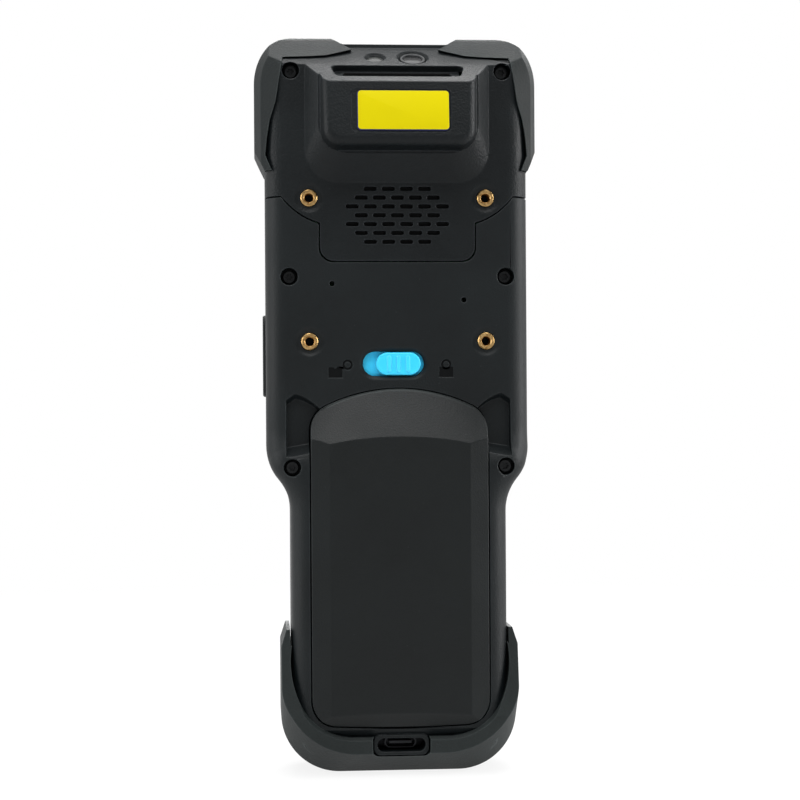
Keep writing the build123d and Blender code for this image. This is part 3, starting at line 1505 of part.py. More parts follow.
boot_crease_half = boot_half - boot_crease_side
with BuildPart() as boot_back:
    add(boot_outline(boot_band_y, boot_crease_z, *boot_crease_corner, boot_crease_half))
    add(full_boot_outline(boot_full_y, 0))
    loft(ruled=True)
with BuildPart() as boot_lip:
    add(full_boot_outline(lip_y - lip_bevel, 0))
    add(full_boot_outline(lip_y, lip_bevel))
    loft(ruled=True)
with BuildPart() as lower_boot:
    add(boot_back.part)
    add(boot_lip.part)
    extrude(full_boot_outline(lip_y - lip_bevel, 0), amount=lip_y - lip_bevel - boot_full_y)
    # the arms lean in towards the sides of the grip
    with BuildSketch(from_side(-boot_half)):
        with BuildLine():
            Polyline(
                (lip_y, 0),
                (boot_band_y, 0),
                (boot_band_y, boot_corner),
                (boot_tip_y, boot_arm_z),
                (lip_y, boot_arm_z),
                close=True,
            )
        make_face()
    extrude(amount=2 * boot_half, mode=Mode.INTERSECT)
    add(case_form, mode=Mode.SUBTRACT)
    # mouth that the back of the grip shows through, with a sloping rim
    extrude(boot_mouth(boot_full_y), amount=boot_full_y - grip_back_y, mode=Mode.SUBTRACT)
    extrude(
        boot_mouth(grip_back_y),
        amount=boot_band_proud + over,
        taper=-boot_rim_slope,
        mode=Mode.SUBTRACT,
    )
    # window of the face, inside the front lip
    with BuildSketch(at_y(lip_y + over)):
        with Locations((0, lip_overlap + case_bottom_z + case_length / 2)):
            RectangleRounded(2 * (grip_half - lip_overlap), case_length, grip_corner - lip_overlap)
    extrude(amount=lip_y + over - front_y, mode=Mode.SUBTRACT)
    # the arms stand a little off the grip at their tips
    with BuildSketch(at_y(lip_y + over)):
        with Locations((0, (boot_shoulder_z + boot_arm_z + over) / 2)):
            Rectangle(2 * (grip_half + arm_gap), boot_arm_z + over - boot_shoulder_z)
    extrude(amount=lip_y - boot_band_y + 2 * over, mode=Mode.SUBTRACT)
    # cut-out round the charging port
    with BuildSketch(at_y(0)):
        with Locations((0, port_z)):
            RectangleRounded(
                port_width + 2 * (port_rim + clearance), port_high + 2 * (port_rim + clearance), port_high / 2
            )
    extrude(amount=over - boot_band_y, mode=Mode.SUBTRACT)
lower_boot.part.label = "lower_boot"
export_step(lower_boot.part, "parts/lower_boot.step")
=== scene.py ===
"""Finishes and small trim of the portable barcode data terminal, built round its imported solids.

Blender works in metres.  Tables of places and sizes are in millimetres and are turned to metres by mm.
X runs to the right when the terminal is seen from behind, Y from its back to its front, Z up its length.
"""
import json
from math import cos, pi, radians, sin

import bmesh
import bpy
from mathutils import Matrix, Vector

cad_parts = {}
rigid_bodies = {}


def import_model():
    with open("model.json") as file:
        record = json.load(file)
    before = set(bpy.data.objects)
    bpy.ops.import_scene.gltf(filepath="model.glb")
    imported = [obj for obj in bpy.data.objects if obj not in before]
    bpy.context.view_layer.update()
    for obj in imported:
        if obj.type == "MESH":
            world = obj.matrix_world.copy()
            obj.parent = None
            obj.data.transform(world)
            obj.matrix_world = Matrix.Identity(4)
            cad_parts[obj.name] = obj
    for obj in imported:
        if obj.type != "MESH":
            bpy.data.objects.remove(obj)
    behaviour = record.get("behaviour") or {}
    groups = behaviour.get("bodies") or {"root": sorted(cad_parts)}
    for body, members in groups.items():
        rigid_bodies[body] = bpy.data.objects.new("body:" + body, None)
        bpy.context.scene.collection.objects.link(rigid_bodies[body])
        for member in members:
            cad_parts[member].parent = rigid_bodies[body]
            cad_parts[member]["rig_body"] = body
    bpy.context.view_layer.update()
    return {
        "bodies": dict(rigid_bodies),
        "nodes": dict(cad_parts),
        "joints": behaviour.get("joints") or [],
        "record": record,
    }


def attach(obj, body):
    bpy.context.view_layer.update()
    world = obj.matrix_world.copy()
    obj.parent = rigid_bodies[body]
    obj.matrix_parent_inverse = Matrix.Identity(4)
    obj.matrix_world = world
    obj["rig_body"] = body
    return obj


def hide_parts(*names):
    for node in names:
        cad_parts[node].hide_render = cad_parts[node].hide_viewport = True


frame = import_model()
nodes = frame["nodes"]
mm = 0.001

# places and sizes that the solids have
picture_z = 147.5          # middle of the display's picture
picture_half_x = 26.4
picture_half_z = 44.9
key_face_y = 18.3
key_pitch_x = 13.0
key_pitch_z = 8.8
key_low_row_z = 20.8
pad_z = 75.0               # middle of the scan key and the arrow keys round it
arrow_reach_x = 13.6
arrow_reach_z = 10.8
face_lean = 0.09699        # the hump's face leans back by this, in radians
eye_lean = 0.97988         # and the camera slope by this
label_spot = (0.9, -17.788, 183.6)
camera_spot = (4.8, -2.049, 200.003)
flash_spot = (-5.75, -2.049, 200.003)
duct_wall_y = -7.266       # inner wall of the scan duct
insert_x = 24.7
insert_low_z = 120.8
insert_high_z = 160.8
insert_foot_y = -0.65
insert_r = 2.35
insert_bore_r = 1.25
insert_length = 6.0
mark_floor_y = -6.205      # floor of the padlock marks
lock_z = 112.15
shackle_z = 114.3
lock_marks = [(-17.6, -14.2), (13.4, 13.4)]   # x of each lock's body and of its shackle

# small trim that only the scene has
film_width = 24.95
film_high = 10.75
film_thick = 0.04
film_round = 0.9
film_shift = (0.12, 0.10)  # leaves more of the plate showing at its left and foot
thread_turns = 12
thread_pitch = 0.42
thread_crest_r = 1.45
thread_top = 5.20
knurl_rim = 0.06
knurl_deep = 0.08
lens_r = 2.62              # where the camera's rim holds its glass
rib_count = 3
rib_low_z = 193.2
rib_pitch = 1.0
ink = 0.025                # thickness of the marks on the keys
digit_size = 4.6
weld = 1e-6                # in metres: points of a new piece that are nearer than this are one
solid_weld = 2e-6          # and those of a solid's copy


# ---------------------------------------------------------------- colours and node helpers
def tone(red, green, blue):
    """A display colour, 0 to 255, as the linear colour that a shader takes."""
    return [((part / 255 + 0.055) / 1.055) ** 2.4 if part > 10 else part / 255 / 12.92
            for part in (red, green, blue)] + [1.0]


def new_finish(name):
    """An empty finish: the material, its node tree and its shader."""
    finish = bpy.data.materials.new(name)
    finish.use_nodes = True
    tree = finish.node_tree
    return finish, tree, tree.nodes["Principled BSDF"]


def add_node(tree, kind, links=(), **settings):
    """A node with its plain sockets set and its links made.  Socket names use _ for a space."""
    node = tree.nodes.new(kind)
    for key, value in settings.items():
        if key.startswith("at_"):
            setattr(node, key[3:], value)
        else:
            node.inputs[key.replace("_", " ")].default_value = value
    for socket, source in links:
        tree.links.new(source, node.inputs[socket])
    return node


def piece_space(tree, stretch=(1, 1, 1)):
    """Object coordinates, stretched where a pattern has a direction."""
    place = add_node(tree, "ShaderNodeTexCoord")
    mapping = add_node(tree, "ShaderNodeMapping", [("Vector", place.outputs["Object"])], Scale=stretch)
    return mapping.outputs["Vector"]


def noise(tree, space, scale, detail, rough):
    """A soft random pattern; scale is in cells per metre."""
    made = add_node(
        tree, "ShaderNodeTexNoise", [("Vector", space)], Scale=scale, Detail=detail, Roughness=rough,
    )
    return made.outputs["Fac"]


def spread(tree, value, low, high, to_low=0.0, to_high=1.0):
    """Value taken from the range low..high to another range, held at its ends."""
    made = add_node(
        tree, "ShaderNodeMapRange", [("Value", value)],
        From_Min=low, From_Max=high, To_Min=to_low, To_Max=to_high,
    )
    return made.outputs["Result"]


def blend_tones(tree, factor, first, second):
    """One colour or the other, by factor.  A colour is a list or another node's output."""
    made = tree.nodes.new("ShaderNodeMix")
    made.data_type = "RGBA"
    tree.links.new(factor, made.inputs["Factor"])
    for socket, colour in ((made.inputs[6], first), (made.inputs[7], second)):
        if isinstance(colour, list):
            socket.default_value = colour
        else:
            tree.links.new(colour, socket)
    return made.outputs[2]


def reckon(tree, operation, first, second):
    """Two node outputs put together by a sum, a product or the larger of both."""
    made = add_node(tree, "ShaderNodeMath", [(0, first), (1, second)], at_operation=operation)
    return made.outputs[0]


def worn_edges(tree, radius):
    """1 on sharp outer edges and 0 on faces: how far the normal turns within radius."""
    rounded = add_node(tree, "ShaderNodeBevel", Radius=radius, at_samples=4)
    true_face = add_node(tree, "ShaderNodeNewGeometry")
    turn = add_node(
        tree, "ShaderNodeVectorMath",
        [(0, rounded.outputs["Normal"]), (1, true_face.outputs["Normal"])], at_operation="DOT_PRODUCT",
    )
    return spread(tree, turn.outputs["Value"], 0.995, 0.85)


def moulded(name, base, patch, edge, rough, grain, depth, gloss=0.12, wear=0.35, speck=0.0):
    """Textured moulded plastic or rubber: cloudy tone, spark-eroded grain, rubbed edges, few light specks."""
    finish, tree, shader = new_finish(name)
    space = piece_space(tree)
    cloud = noise(tree, space, 42.0, 4.0, 0.55)
    colour = blend_tones(tree, spread(tree, cloud, 0.35, 0.65), tone(*base), tone(*patch))
    grain_cells = noise(tree, space, grain, 3.0, 0.65)
    colour = blend_tones(tree, spread(tree, grain_cells, 0.52, 0.75, 0.0, 0.5), colour, tone(*patch))
    if wear:
        rub = reckon(tree, "MULTIPLY", worn_edges(tree, 0.0005), spread(tree, cloud, 0.2, 0.7))
        colour = blend_tones(tree, spread(tree, rub, 0.0, 1.0, 0.0, wear), colour, tone(*edge))
    if speck:
        dust = add_node(tree, "ShaderNodeTexVoronoi", [("Vector", space)], Scale=300.0, Randomness=1.0)
        dots = spread(tree, dust.outputs["Distance"], 0.05, 0.02, 0.0, speck)
        colour = blend_tones(tree, dots, colour, tone(*edge))
    pits = add_node(tree, "ShaderNodeTexVoronoi", [("Vector", space)], Scale=grain * 0.7)
    relief = reckon(tree, "ADD", grain_cells, pits.outputs["Distance"])
    bump = add_node(tree, "ShaderNodeBump", [("Height", relief)], Strength=0.55, Distance=depth)
    tree.links.new(colour, shader.inputs["Base Color"])
    tree.links.new(spread(tree, cloud, 0.3, 0.7, rough - 0.05, rough + 0.06), shader.inputs["Roughness"])
    tree.links.new(bump.outputs["Normal"], shader.inputs["Normal"])
    shader.inputs["Specular IOR Level"].default_value = gloss
    return finish


def metal(name, base, patch, rough, brush=(1, 1, 1), scale=900.0, metallic=1.0):
    """Turned, stamped or drawn metal with fine tool marks along one direction."""
    finish, tree, shader = new_finish(name)
    space = piece_space(tree, brush)
    marks = noise(tree, space, scale, 3.0, 0.6)
    colour = blend_tones(tree, spread(tree, marks, 0.3, 0.7), tone(*base), tone(*patch))
    bump = add_node(tree, "ShaderNodeBump", [("Height", marks)], Strength=0.25, Distance=0.00004)
    tree.links.new(colour, shader.inputs["Base Color"])
    tree.links.new(spread(tree, marks, 0.3, 0.7, rough - 0.06, rough + 0.08), shader.inputs["Roughness"])
    tree.links.new(bump.outputs["Normal"], shader.inputs["Normal"])
    shader.inputs["Metallic"].default_value = metallic
    return finish


def polished(name, base, patch, rough, gloss, smear, coat=0.0):
    """Glass or clear plastic, with faint smears that change its gloss."""
    finish, tree, shader = new_finish(name)
    space = piece_space(tree)
    smears = noise(tree, space, 28.0, 5.0, 0.6)
    colour = blend_tones(tree, spread(tree, smears, 0.3, 0.7), tone(*base), tone(*patch))
    tree.links.new(colour, shader.inputs["Base Color"])
    tree.links.new(spread(tree, smears, 0.35, 0.75, rough, rough + smear), shader.inputs["Roughness"])
    shader.inputs["Specular IOR Level"].default_value = gloss
    shader.inputs["Coat Weight"].default_value = coat
    return finish


# ---------------------------------------------------------------- finishes
case_black = moulded(
    "case_black", (8, 13, 15), (12, 18, 20), (74, 82, 84), 0.50, 2600.0, 0.00006, gloss=0.24, speck=0.25,
)
cover_black = moulded(
    "cover_black", (10, 14, 16), (14, 19, 21), (78, 84, 90), 0.47, 2300.0, 0.00013, gloss=0.20, speck=0.2,
)
battery_black = moulded(
    "battery_black", (5, 10, 11), (8, 14, 15), (74, 82, 82), 0.46, 3000.0, 0.00004, gloss=0.28, speck=0.2,
)
bumper_rubber = moulded(
    "bumper_rubber", (17, 22, 22), (24, 29, 30), (84, 92, 92), 0.60, 1900.0, 0.00008, gloss=0.22, wear=0.5,
)
boot_rubber = moulded(
    "boot_rubber", (26, 31, 31), (33, 38, 38), (80, 88, 88), 0.58, 1900.0, 0.00008, gloss=0.22, wear=0.5,
)
key_plastic = moulded("key_plastic", (34, 36, 38), (40, 42, 44), (96, 100, 102), 0.48, 2600.0, 0.00004)
trigger_rubber = moulded(
    "trigger_rubber", (20, 24, 25), (26, 30, 31), (80, 86, 88), 0.58, 2200.0, 0.00006, gloss=0.22,
)
latch_blue = moulded(
    "latch_blue", (46, 198, 246), (56, 206, 250), (160, 234, 254), 0.36, 3600.0, 0.00002, gloss=0.3,
)
legend_white = moulded(
    "legend_white", (206, 210, 212), (222, 225, 226), (235, 236, 236), 0.5, 3600.0, 0.00002, wear=0,
)
mark_black = moulded(
    "mark_black", (5, 7, 8), (8, 10, 11), (20, 22, 22), 0.6, 3600.0, 0.00002, gloss=0.1, wear=0,
)
inner_black = moulded(
    "inner_black", (9, 10, 11), (13, 14, 15), (40, 42, 42), 0.6, 1500.0, 0.00005, gloss=0.15, wear=0,
)
seal_grey = moulded("seal_grey", (30, 30, 31), (38, 38, 39), (60, 60, 60), 0.7, 1500.0, 0.00004, wear=0)
pad_silicone = moulded(
    "pad_silicone", (92, 93, 95), (104, 105, 107), (130, 130, 130), 0.65, 1500.0, 0.00004, wear=0,
)
brass = metal("brass", (176, 138, 84), (214, 178, 122), 0.30, (1, 1, 1), 1400.0)
gold = metal("gold", (214, 168, 84), (236, 196, 118), 0.24, (1, 1, 0.2), 900.0)
black_steel = metal("black_steel", (20, 22, 23), (34, 36, 38), 0.40, (1, 1, 1), 1600.0, 0.6)
port_steel = metal("port_steel", (34, 35, 37), (52, 53, 56), 0.34, (0.2, 1, 1), 1200.0, 0.8)
bright_steel = metal("bright_steel", (150, 152, 156), (182, 184, 188), 0.28, (0.2, 1, 1), 1200.0)
cast_metal = metal("cast_metal", (96, 98, 102), (120, 122, 126), 0.45, (1, 1, 1), 900.0)
cell_foil = metal("cell_foil", (150, 152, 156), (172, 174, 178), 0.34, (1, 1, 1), 260.0)
label_yellow = polished("label_yellow", (202, 188, 0), (206, 192, 0), 0.50, 0.08, 0.06)
label_navy = polished("label_navy", (22, 24, 74), (26, 28, 82), 0.42, 0.3, 0.05)
lens_glass = polished("lens_glass", (4, 5, 7), (7, 8, 11), 0.16, 0.16, 0.04)
flash_clear = polished("flash_clear", (40, 42, 40), (52, 54, 52), 0.24, 0.2, 0.05)
window_red = polished("window_red", (20, 5, 6), (28, 7, 8), 0.07, 0.55, 0.04, coat=0.4)
panel_dark = polished("panel_dark", (10, 11, 14), (14, 15, 18), 0.22, 0.4, 0.05)


def make_display_glass():
    """Black bordered glass: a wide black edge round a slightly lighter picture area, with finger smears."""
    finish, tree, shader = new_finish("display_glass")
    space = piece_space(tree)
    axes = add_node(tree, "ShaderNodeSeparateXYZ", [("Vector", space)])
    inside = []
    for axis, middle, half in (("X", 0.0, picture_half_x), ("Z", picture_z, picture_half_z)):
        offset = add_node(tree, "ShaderNodeMath", [(0, axes.outputs[axis])], at_operation="SUBTRACT")
        offset.inputs[1].default_value = middle * mm
        reach = add_node(tree, "ShaderNodeMath", [(0, offset.outputs[0])], at_operation="ABSOLUTE")
        inside.append(spread(tree, reach.outputs[0], half * mm, (half - 0.1) * mm))
    picture = reckon(tree, "MULTIPLY", inside[0], inside[1])
    colour = blend_tones(tree, picture, tone(5, 5, 6), tone(17, 19, 22))
    smears = noise(tree, space, 24.0, 6.0, 0.62)
    tree.links.new(colour, shader.inputs["Base Color"])
    tree.links.new(spread(tree, smears, 0.45, 0.8, 0.05, 0.16), shader.inputs["Roughness"])
    shader.inputs["Specular IOR Level"].default_value = 0.55
    return finish


def make_laminate():
    """Circuit board: green solder mask over a fine pattern of copper tracks and pads."""
    finish, tree, shader = new_finish("board_laminate")
    space = piece_space(tree)
    upright = add_node(tree, "ShaderNodeMapping", [("Vector", space)], Rotation=(radians(90), 0, 0))
    tracks = add_node(
        tree, "ShaderNodeTexBrick", [("Vector", upright.outputs["Vector"])],
        Color1=tone(16, 84, 44), Color2=tone(20, 96, 50), Mortar=tone(48, 132, 70),
        Scale=260.0, Mortar_Size=0.03, Bias=0.0,
    )
    tree.links.new(tracks.outputs["Color"], shader.inputs["Base Color"])
    raised = [("Height", tracks.outputs["Fac"])]
    bump = add_node(tree, "ShaderNodeBump", raised, Strength=0.3, Distance=0.00003)
    tree.links.new(bump.outputs["Normal"], shader.inputs["Normal"])
    shader.inputs["Roughness"].default_value = 0.38
    return finish


display_glass = make_display_glass()
board_laminate = make_laminate()


# ---------------------------------------------------------------- pieces
def place_piece(mesh, name, body, finish, replaced=(), angle=32.0):
    """Puts a finished mesh in the scene, smooth over gentle turns, riding on a body."""
    mesh.materials.clear()
    mesh.materials.append(finish)
    mesh.shade_smooth()
    mesh.set_sharp_from_angle(angle=radians(angle))
    piece = bpy.data.objects.new(name, mesh)
    bpy.context.scene.collection.objects.link(piece)
    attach(piece, body)
    if replaced:
        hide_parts(*replaced)
    return piece


def mesh_from(bm, name):
    """A mesh with merged points and outward faces from a bmesh."""
    bmesh.ops.remove_doubles(bm, verts=bm.verts, dist=weld)
    bmesh.ops.recalc_face_normals(bm, faces=bm.faces)
    mesh = bpy.data.meshes.new(name)
    bm.to_mesh(mesh)
    bm.free()
    return mesh


def dressed(node, finish, edge=0.0, angle=32.0):
    """A merged copy of a solid, with smooth curved faces and small rounded edges, shown in its place."""
    bm = bmesh.new()
    bm.from_mesh(nodes[node].data)
    bmesh.ops.remove_doubles(bm, verts=bm.verts, dist=solid_weld)
    bmesh.ops.dissolve_limit(bm, angle_limit=radians(0.5), verts=bm.verts, edges=bm.edges)
    mesh = bpy.data.meshes.new(node + "_skin")
    bm.to_mesh(mesh)
    bm.free()
    if "custom_normal" in mesh.attributes:
        mesh.attributes.remove(mesh.attributes["custom_normal"])
    piece = place_piece(mesh, node + "_skin", nodes[node]["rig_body"], finish, (node,), angle)
    if edge:
        rounding = piece.modifiers.new("rounded_edges", "BEVEL")
        rounding.width = edge * mm
        rounding.segments = 2
        rounding.limit_method = "ANGLE"
        rounding.angle_limit = radians(angle)
        rounding.use_clamp_overlap = False
    weighting = piece.modifiers.new("even_shading", "WEIGHTED_NORMAL")
    weighting.keep_sharp = True
    return piece


dressed("rear_housing", case_black, 0.20, 14)
dressed("scanner_cover", cover_black, 0.20, 14)
dressed("front_housing", case_black, 0.16, 25)
dressed("battery_cover", battery_black, 0.16, 13)
dressed("corner_bumper_left", bumper_rubber, 0.20, 13)
dressed("corner_bumper_right", bumper_rubber, 0.20, 13)
dressed("lower_boot", boot_rubber, 0.06, 13)
dressed("latch_slider", latch_blue, 0.08, 25)
dressed("trigger_left", trigger_rubber)
dressed("trigger_right", trigger_rubber)
dressed("touch_glass", display_glass, 0.12)
dressed("case_screws", black_steel)
dressed("usb_connector", port_steel)
dressed("earpiece_grille", black_steel)

for name in [name for name in nodes if name.startswith("key_")]:
    dressed(name, latch_blue if name == "key_scan" else key_plastic)


# ---------------------------------------------------------------- small trim
def facing(place, right, up, out):
    """Frame of a surface: sketches lie in right and up, thickness goes out."""
    return Matrix.Translation(Vector(place) * mm) @ Matrix((right, up, out)).transposed().to_4x4()


def from_behind(x, y, z):
    """Frame on an upright face that looks to the back."""
    return facing((x, y, z), (1, 0, 0), (0, 0, 1), (0, -1, 0))


def from_front(x, y, z):
    """Frame on an upright face that looks to the front."""
    return facing((x, y, z), (-1, 0, 0), (0, 0, 1), (0, 1, 0))


def leaning(x, y, z, lean):
    """Frame on a face that looks to the back and up by lean."""
    return facing((x, y, z), (1, 0, 0), (0, sin(lean), cos(lean)), (0, -cos(lean), sin(lean)))


def raise_face(bm, face, frame, thick, rim):
    """Gives a flat face its thickness, closes its back and rounds its upper rim."""
    raised = bmesh.ops.extrude_face_region(bm, geom=[face])["geom"]
    top = [part for part in raised if isinstance(part, bmesh.types.BMVert)]
    bmesh.ops.translate(bm, verts=top, vec=frame.to_3x3() @ Vector((0, 0, thick * mm)))
    bmesh.ops.holes_fill(bm, edges=bm.edges, sides=0)
    if rim:
        upper = [part for part in raised if isinstance(part, bmesh.types.BMEdge)]
        bmesh.ops.bevel(bm, geom=upper, offset=rim * mm, segments=2, profile=0.5, affect="EDGES", material=-1)


def plate(bm, frame, width, high, thick, corner=0.0, rim=0.0):
    """A flat plate with round corners, lying on frame."""
    size = Matrix.Diagonal((width * mm, high * mm, 1, 1))
    made = bmesh.ops.create_grid(bm, x_segments=1, y_segments=1, size=0.5, matrix=frame @ size)["verts"]
    face = made[0].link_faces[0]
    if corner:
        rounded = bmesh.ops.bevel(
            bm, geom=made, offset=corner * mm, segments=6, profile=0.5, affect="VERTICES", material=-1,
        )
        face = max(rounded["verts"][0].link_faces, key=lambda option: option.calc_area())
    raise_face(bm, face, frame, thick, rim)


def arrowhead(bm, frame, reach, thick):
    """A triangle that points up in frame."""
    made = bmesh.ops.create_circle(bm, cap_ends=True, segments=3, radius=reach * mm, matrix=frame)["verts"]
    raise_face(bm, made[0].link_faces[0], frame, thick, 0)


def lathe(bm, frame, profile, steps=36, closed=True):
    """A turned ring: profile is (radius, height) points, spun round the outward line of frame."""
    points = [bm.verts.new(frame @ (Vector((radius, 0, height)) * mm)) for radius, height in profile]
    lines = [bm.edges.new(pair) for pair in zip(points, points[1:])]
    if closed:
        lines.append(bm.edges.new((points[-1], points[0])))
    bmesh.ops.spin(
        bm, geom=points + lines, cent=frame.translation, axis=frame.to_3x3() @ Vector((0, 0, 1)),
        angle=2 * pi, steps=steps, use_merge=True,
    )


def trim_piece(bm, name, node, finish, replaced=(), angle=32.0):
    """A finished small piece that rides on the body of node."""
    mesh = mesh_from(bm, name)
    return place_piece(mesh, name, nodes[node]["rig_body"], finish, replaced, angle)


def make_label():
    """Bare yellow film on the navy plate, which shows as a thin edge at its left and foot."""
    bm = bmesh.new()
    x, y, z = label_spot
    spot = leaning(x + film_shift[0], y, z + film_shift[1], face_lean)
    plate(bm, spot, film_width, film_high, film_thick, film_round, 0.015)
    trim_piece(bm, "label_film", "label_plate", label_yellow)


def axis_point(face):
    """Nearest point to a face's middle on the axis of its own insert."""
    middle = face.calc_center_median()
    x = insert_x if middle.x > 0 else -insert_x
    z = insert_high_z if middle.z > (insert_low_z + insert_high_z) / 2 * mm else insert_low_z
    return Vector((x * mm, middle.y, z * mm))


def is_outer_wall(face):
    """Whether a face of an insert is part of its outer wall."""
    near = min((vert.co - axis_point(face)).length for vert in face.verts)
    return near > (insert_r - 0.05) * mm and abs(face.normal.y) < 0.1


def make_inserts():
    """Knurled brass inserts with a turned face and a screw thread in the bore."""
    bm = bmesh.new()
    thread = []
    for turn in range(thread_turns):
        height = thread_top - turn * thread_pitch
        thread += [(insert_bore_r, height), (thread_crest_r, height - thread_pitch / 2)]
    outside = [(insert_r, 0.0), (insert_r, 5.75), (2.10, insert_length)]
    mouth = [(1.52, insert_length), (insert_bore_r, 5.72)]
    profile = outside + mouth + thread + [(insert_bore_r, 0.0)]
    for x in (-insert_x, insert_x):
        for z in (insert_low_z, insert_high_z):
            lathe(bm, from_behind(x, insert_foot_y, z), profile)
    bmesh.ops.recalc_face_normals(bm, faces=bm.faces)
    outer = [face for face in bm.faces if is_outer_wall(face)]
    bmesh.ops.inset_individual(bm, faces=outer, thickness=knurl_rim * mm, depth=-knurl_deep * mm)
    trim_piece(bm, "threaded_insert_knurls", "threaded_inserts", brass, ("threaded_inserts",), 25.0)


def make_lock_marks():
    """Thin dark plates on the floors of the two padlock marks beside the latch, which make the marks dark."""
    bm = bmesh.new()
    shackle = [(0.88, 0), (1.42, 0), (1.42, 0.05), (0.88, 0.05)]
    for x, shackle_x in lock_marks:
        plate(bm, from_behind(x, mark_floor_y, lock_z), 3.90, 2.80, 0.05, 0.1)
        lathe(bm, from_behind(shackle_x, mark_floor_y, shackle_z), shackle, 32)
    # the plates darken the marks' floors; nothing here tells whether that darkness is paint or shade
    trim_piece(bm, "lock_mark_dark_plates", "rear_housing", mark_black)


def make_camera_bezel():
    """Turned rim and domed glass of the camera, and the domed cover of the flash."""
    rim = [(3.60, 0), (3.60, 0.30), (3.42, 0.46), (2.90, 0.46), (lens_r, 0.24), (lens_r, 0)]
    dome = [(0, 0.36), (0.9, 0.34), (1.8, 0.27), (lens_r, 0.14), (lens_r, 0), (0, 0)]
    cover = [(0, 0.40), (0.8, 0.36), (1.5, 0.22), (2.05, 0), (0, 0)]
    for name, node, spot, finish, profile, steps, closed in (
        ("camera_bezel", "camera_lens", camera_spot, black_steel, rim, 48, True),
        ("camera_dome", "camera_lens", camera_spot, lens_glass, dome, 48, False),
        ("flash_dome", "flash_lens", flash_spot, flash_clear, cover, 40, False),
    ):
        bm = bmesh.new()
        lathe(bm, leaning(*spot, eye_lean), profile, steps, closed)
        trim_piece(bm, name, node, finish)


def make_duct_ribs():
    """Anti-glare ribs on the inner wall of the scan duct."""
    bm = bmesh.new()
    for step in range(rib_count):
        plate(bm, from_behind(0, duct_wall_y, rib_low_z + step * rib_pitch), 29.6, 0.45, 0.35, 0.12, 0.08)
    trim_piece(bm, "scan_duct_ribs", "scanner_cover", inner_black)


def add_digit(bm, frame, digit):
    """A moulded digit, taken from a text curve that is made a mesh first."""
    curve = bpy.data.curves.new("digit", "FONT")
    curve.body = digit
    curve.size = digit_size * mm
    curve.extrude = 0.012 * mm
    curve.align_x = "CENTER"
    curve.align_y = "CENTER"
    writer = bpy.data.objects.new("digit", curve)
    mesh = bpy.data.meshes.new_from_object(writer)
    mesh.transform(frame @ Matrix.Translation((0, 0, 0.012 * mm)))
    bm.from_mesh(mesh)
    bpy.data.objects.remove(writer)
    bpy.data.curves.remove(curve)
    bpy.data.meshes.remove(mesh)


def turned(frame, x, z, angle):
    """Frame moved in its own plane and turned by angle in degrees."""
    return frame @ Matrix.Translation((x * mm, z * mm, 0)) @ Matrix.Rotation(radians(angle), 4, "Z")


def add_symbol(bm, frame, name):
    """Plain marks for the keys that carry no digit."""
    if name == "key_dot":
        lathe(bm, frame, [(0, 0), (0.45, 0), (0.45, ink), (0, ink)], 24, False)
    elif name == "key_minus":
        plate(bm, frame, 2.4, 0.5, ink)
    elif name == "key_star":
        for angle in (0, 60, 120):
            plate(bm, turned(frame, 0, 0, angle), 2.8, 0.42, ink)
    elif name == "key_escape":
        for angle in (45, 135):
            plate(bm, turned(frame, 0, 0, angle), 3.0, 0.45, ink)
    elif name == "key_shift":
        arrowhead(bm, frame, 1.5, ink)
    elif name == "key_func":
        lathe(bm, frame, [(0.95, 0), (1.35, 0), (1.35, ink), (0.95, ink)], 32)
    elif name == "key_power":
        lathe(bm, frame, [(1.1, 0), (1.5, 0), (1.5, ink), (1.1, ink)], 32)
        plate(bm, turned(frame, 0, 1.2, 0), 0.45, 1.6, ink)
    elif name in ("key_enter", "key_back", "key_tab"):
        side = 1 if name == "key_tab" else -1
        arrowhead(bm, turned(frame, side * 1.3, 0, -90 * side), 1.0, ink)
        plate(bm, turned(frame, -side * 0.5, 0, 0), 2.6, 0.45, ink)
        if name == "key_tab":
            plate(bm, turned(frame, 2.1, 0, 0), 0.45, 1.6, ink)
        elif name == "key_enter":
            plate(bm, turned(frame, 1.8, 0.3, 0), 0.45, 1.6, ink)
    elif name == "key_scan":
        for x, wide in ((-3.0, 0.5), (-1.8, 0.9), (-0.4, 0.4), (0.8, 1.1), (2.2, 0.5), (3.1, 0.4)):
            plate(bm, turned(frame, x, 0, 0), wide, 4.2, ink)
    else:
        points_to = {"key_up": 0, "key_down": 180, "key_left": 90, "key_right": -90}[name]
        arrowhead(bm, turned(frame, 0, 0, points_to), 1.4, ink)


keypad_rows = [
    ["key_dot", "key_0", "key_minus", "key_enter"],
    ["key_7", "key_8", "key_9", "key_star"],
    ["key_4", "key_5", "key_6", "key_shift"],
    ["key_1", "key_2", "key_3", "key_func"],
    ["key_power", "key_escape", "key_tab", "key_back"],
]
key_places = {
    "key_scan": (0, pad_z), "key_up": (0, pad_z + arrow_reach_z), "key_down": (0, pad_z - arrow_reach_z),
    "key_left": (arrow_reach_x, pad_z), "key_right": (-arrow_reach_x, pad_z),
}
for row, names in enumerate(keypad_rows):
    for column, name in enumerate(names):
        key_places[name] = ((1.5 - column) * key_pitch_x, key_low_row_z + row * key_pitch_z)


def make_legends():
    """A mark on every key, as raised ink."""
    for name, (x, z) in key_places.items():
        bm = bmesh.new()
        face = from_front(x, key_face_y, z)
        sign = name.removeprefix("key_")
        if sign.isdigit():
            add_digit(bm, face, sign)
        else:
            add_symbol(bm, face, name)
        trim_piece(bm, name + "_legend", name, legend_white)


make_label()
make_inserts()
make_lock_marks()
make_camera_bezel()
make_duct_ribs()
make_legends()

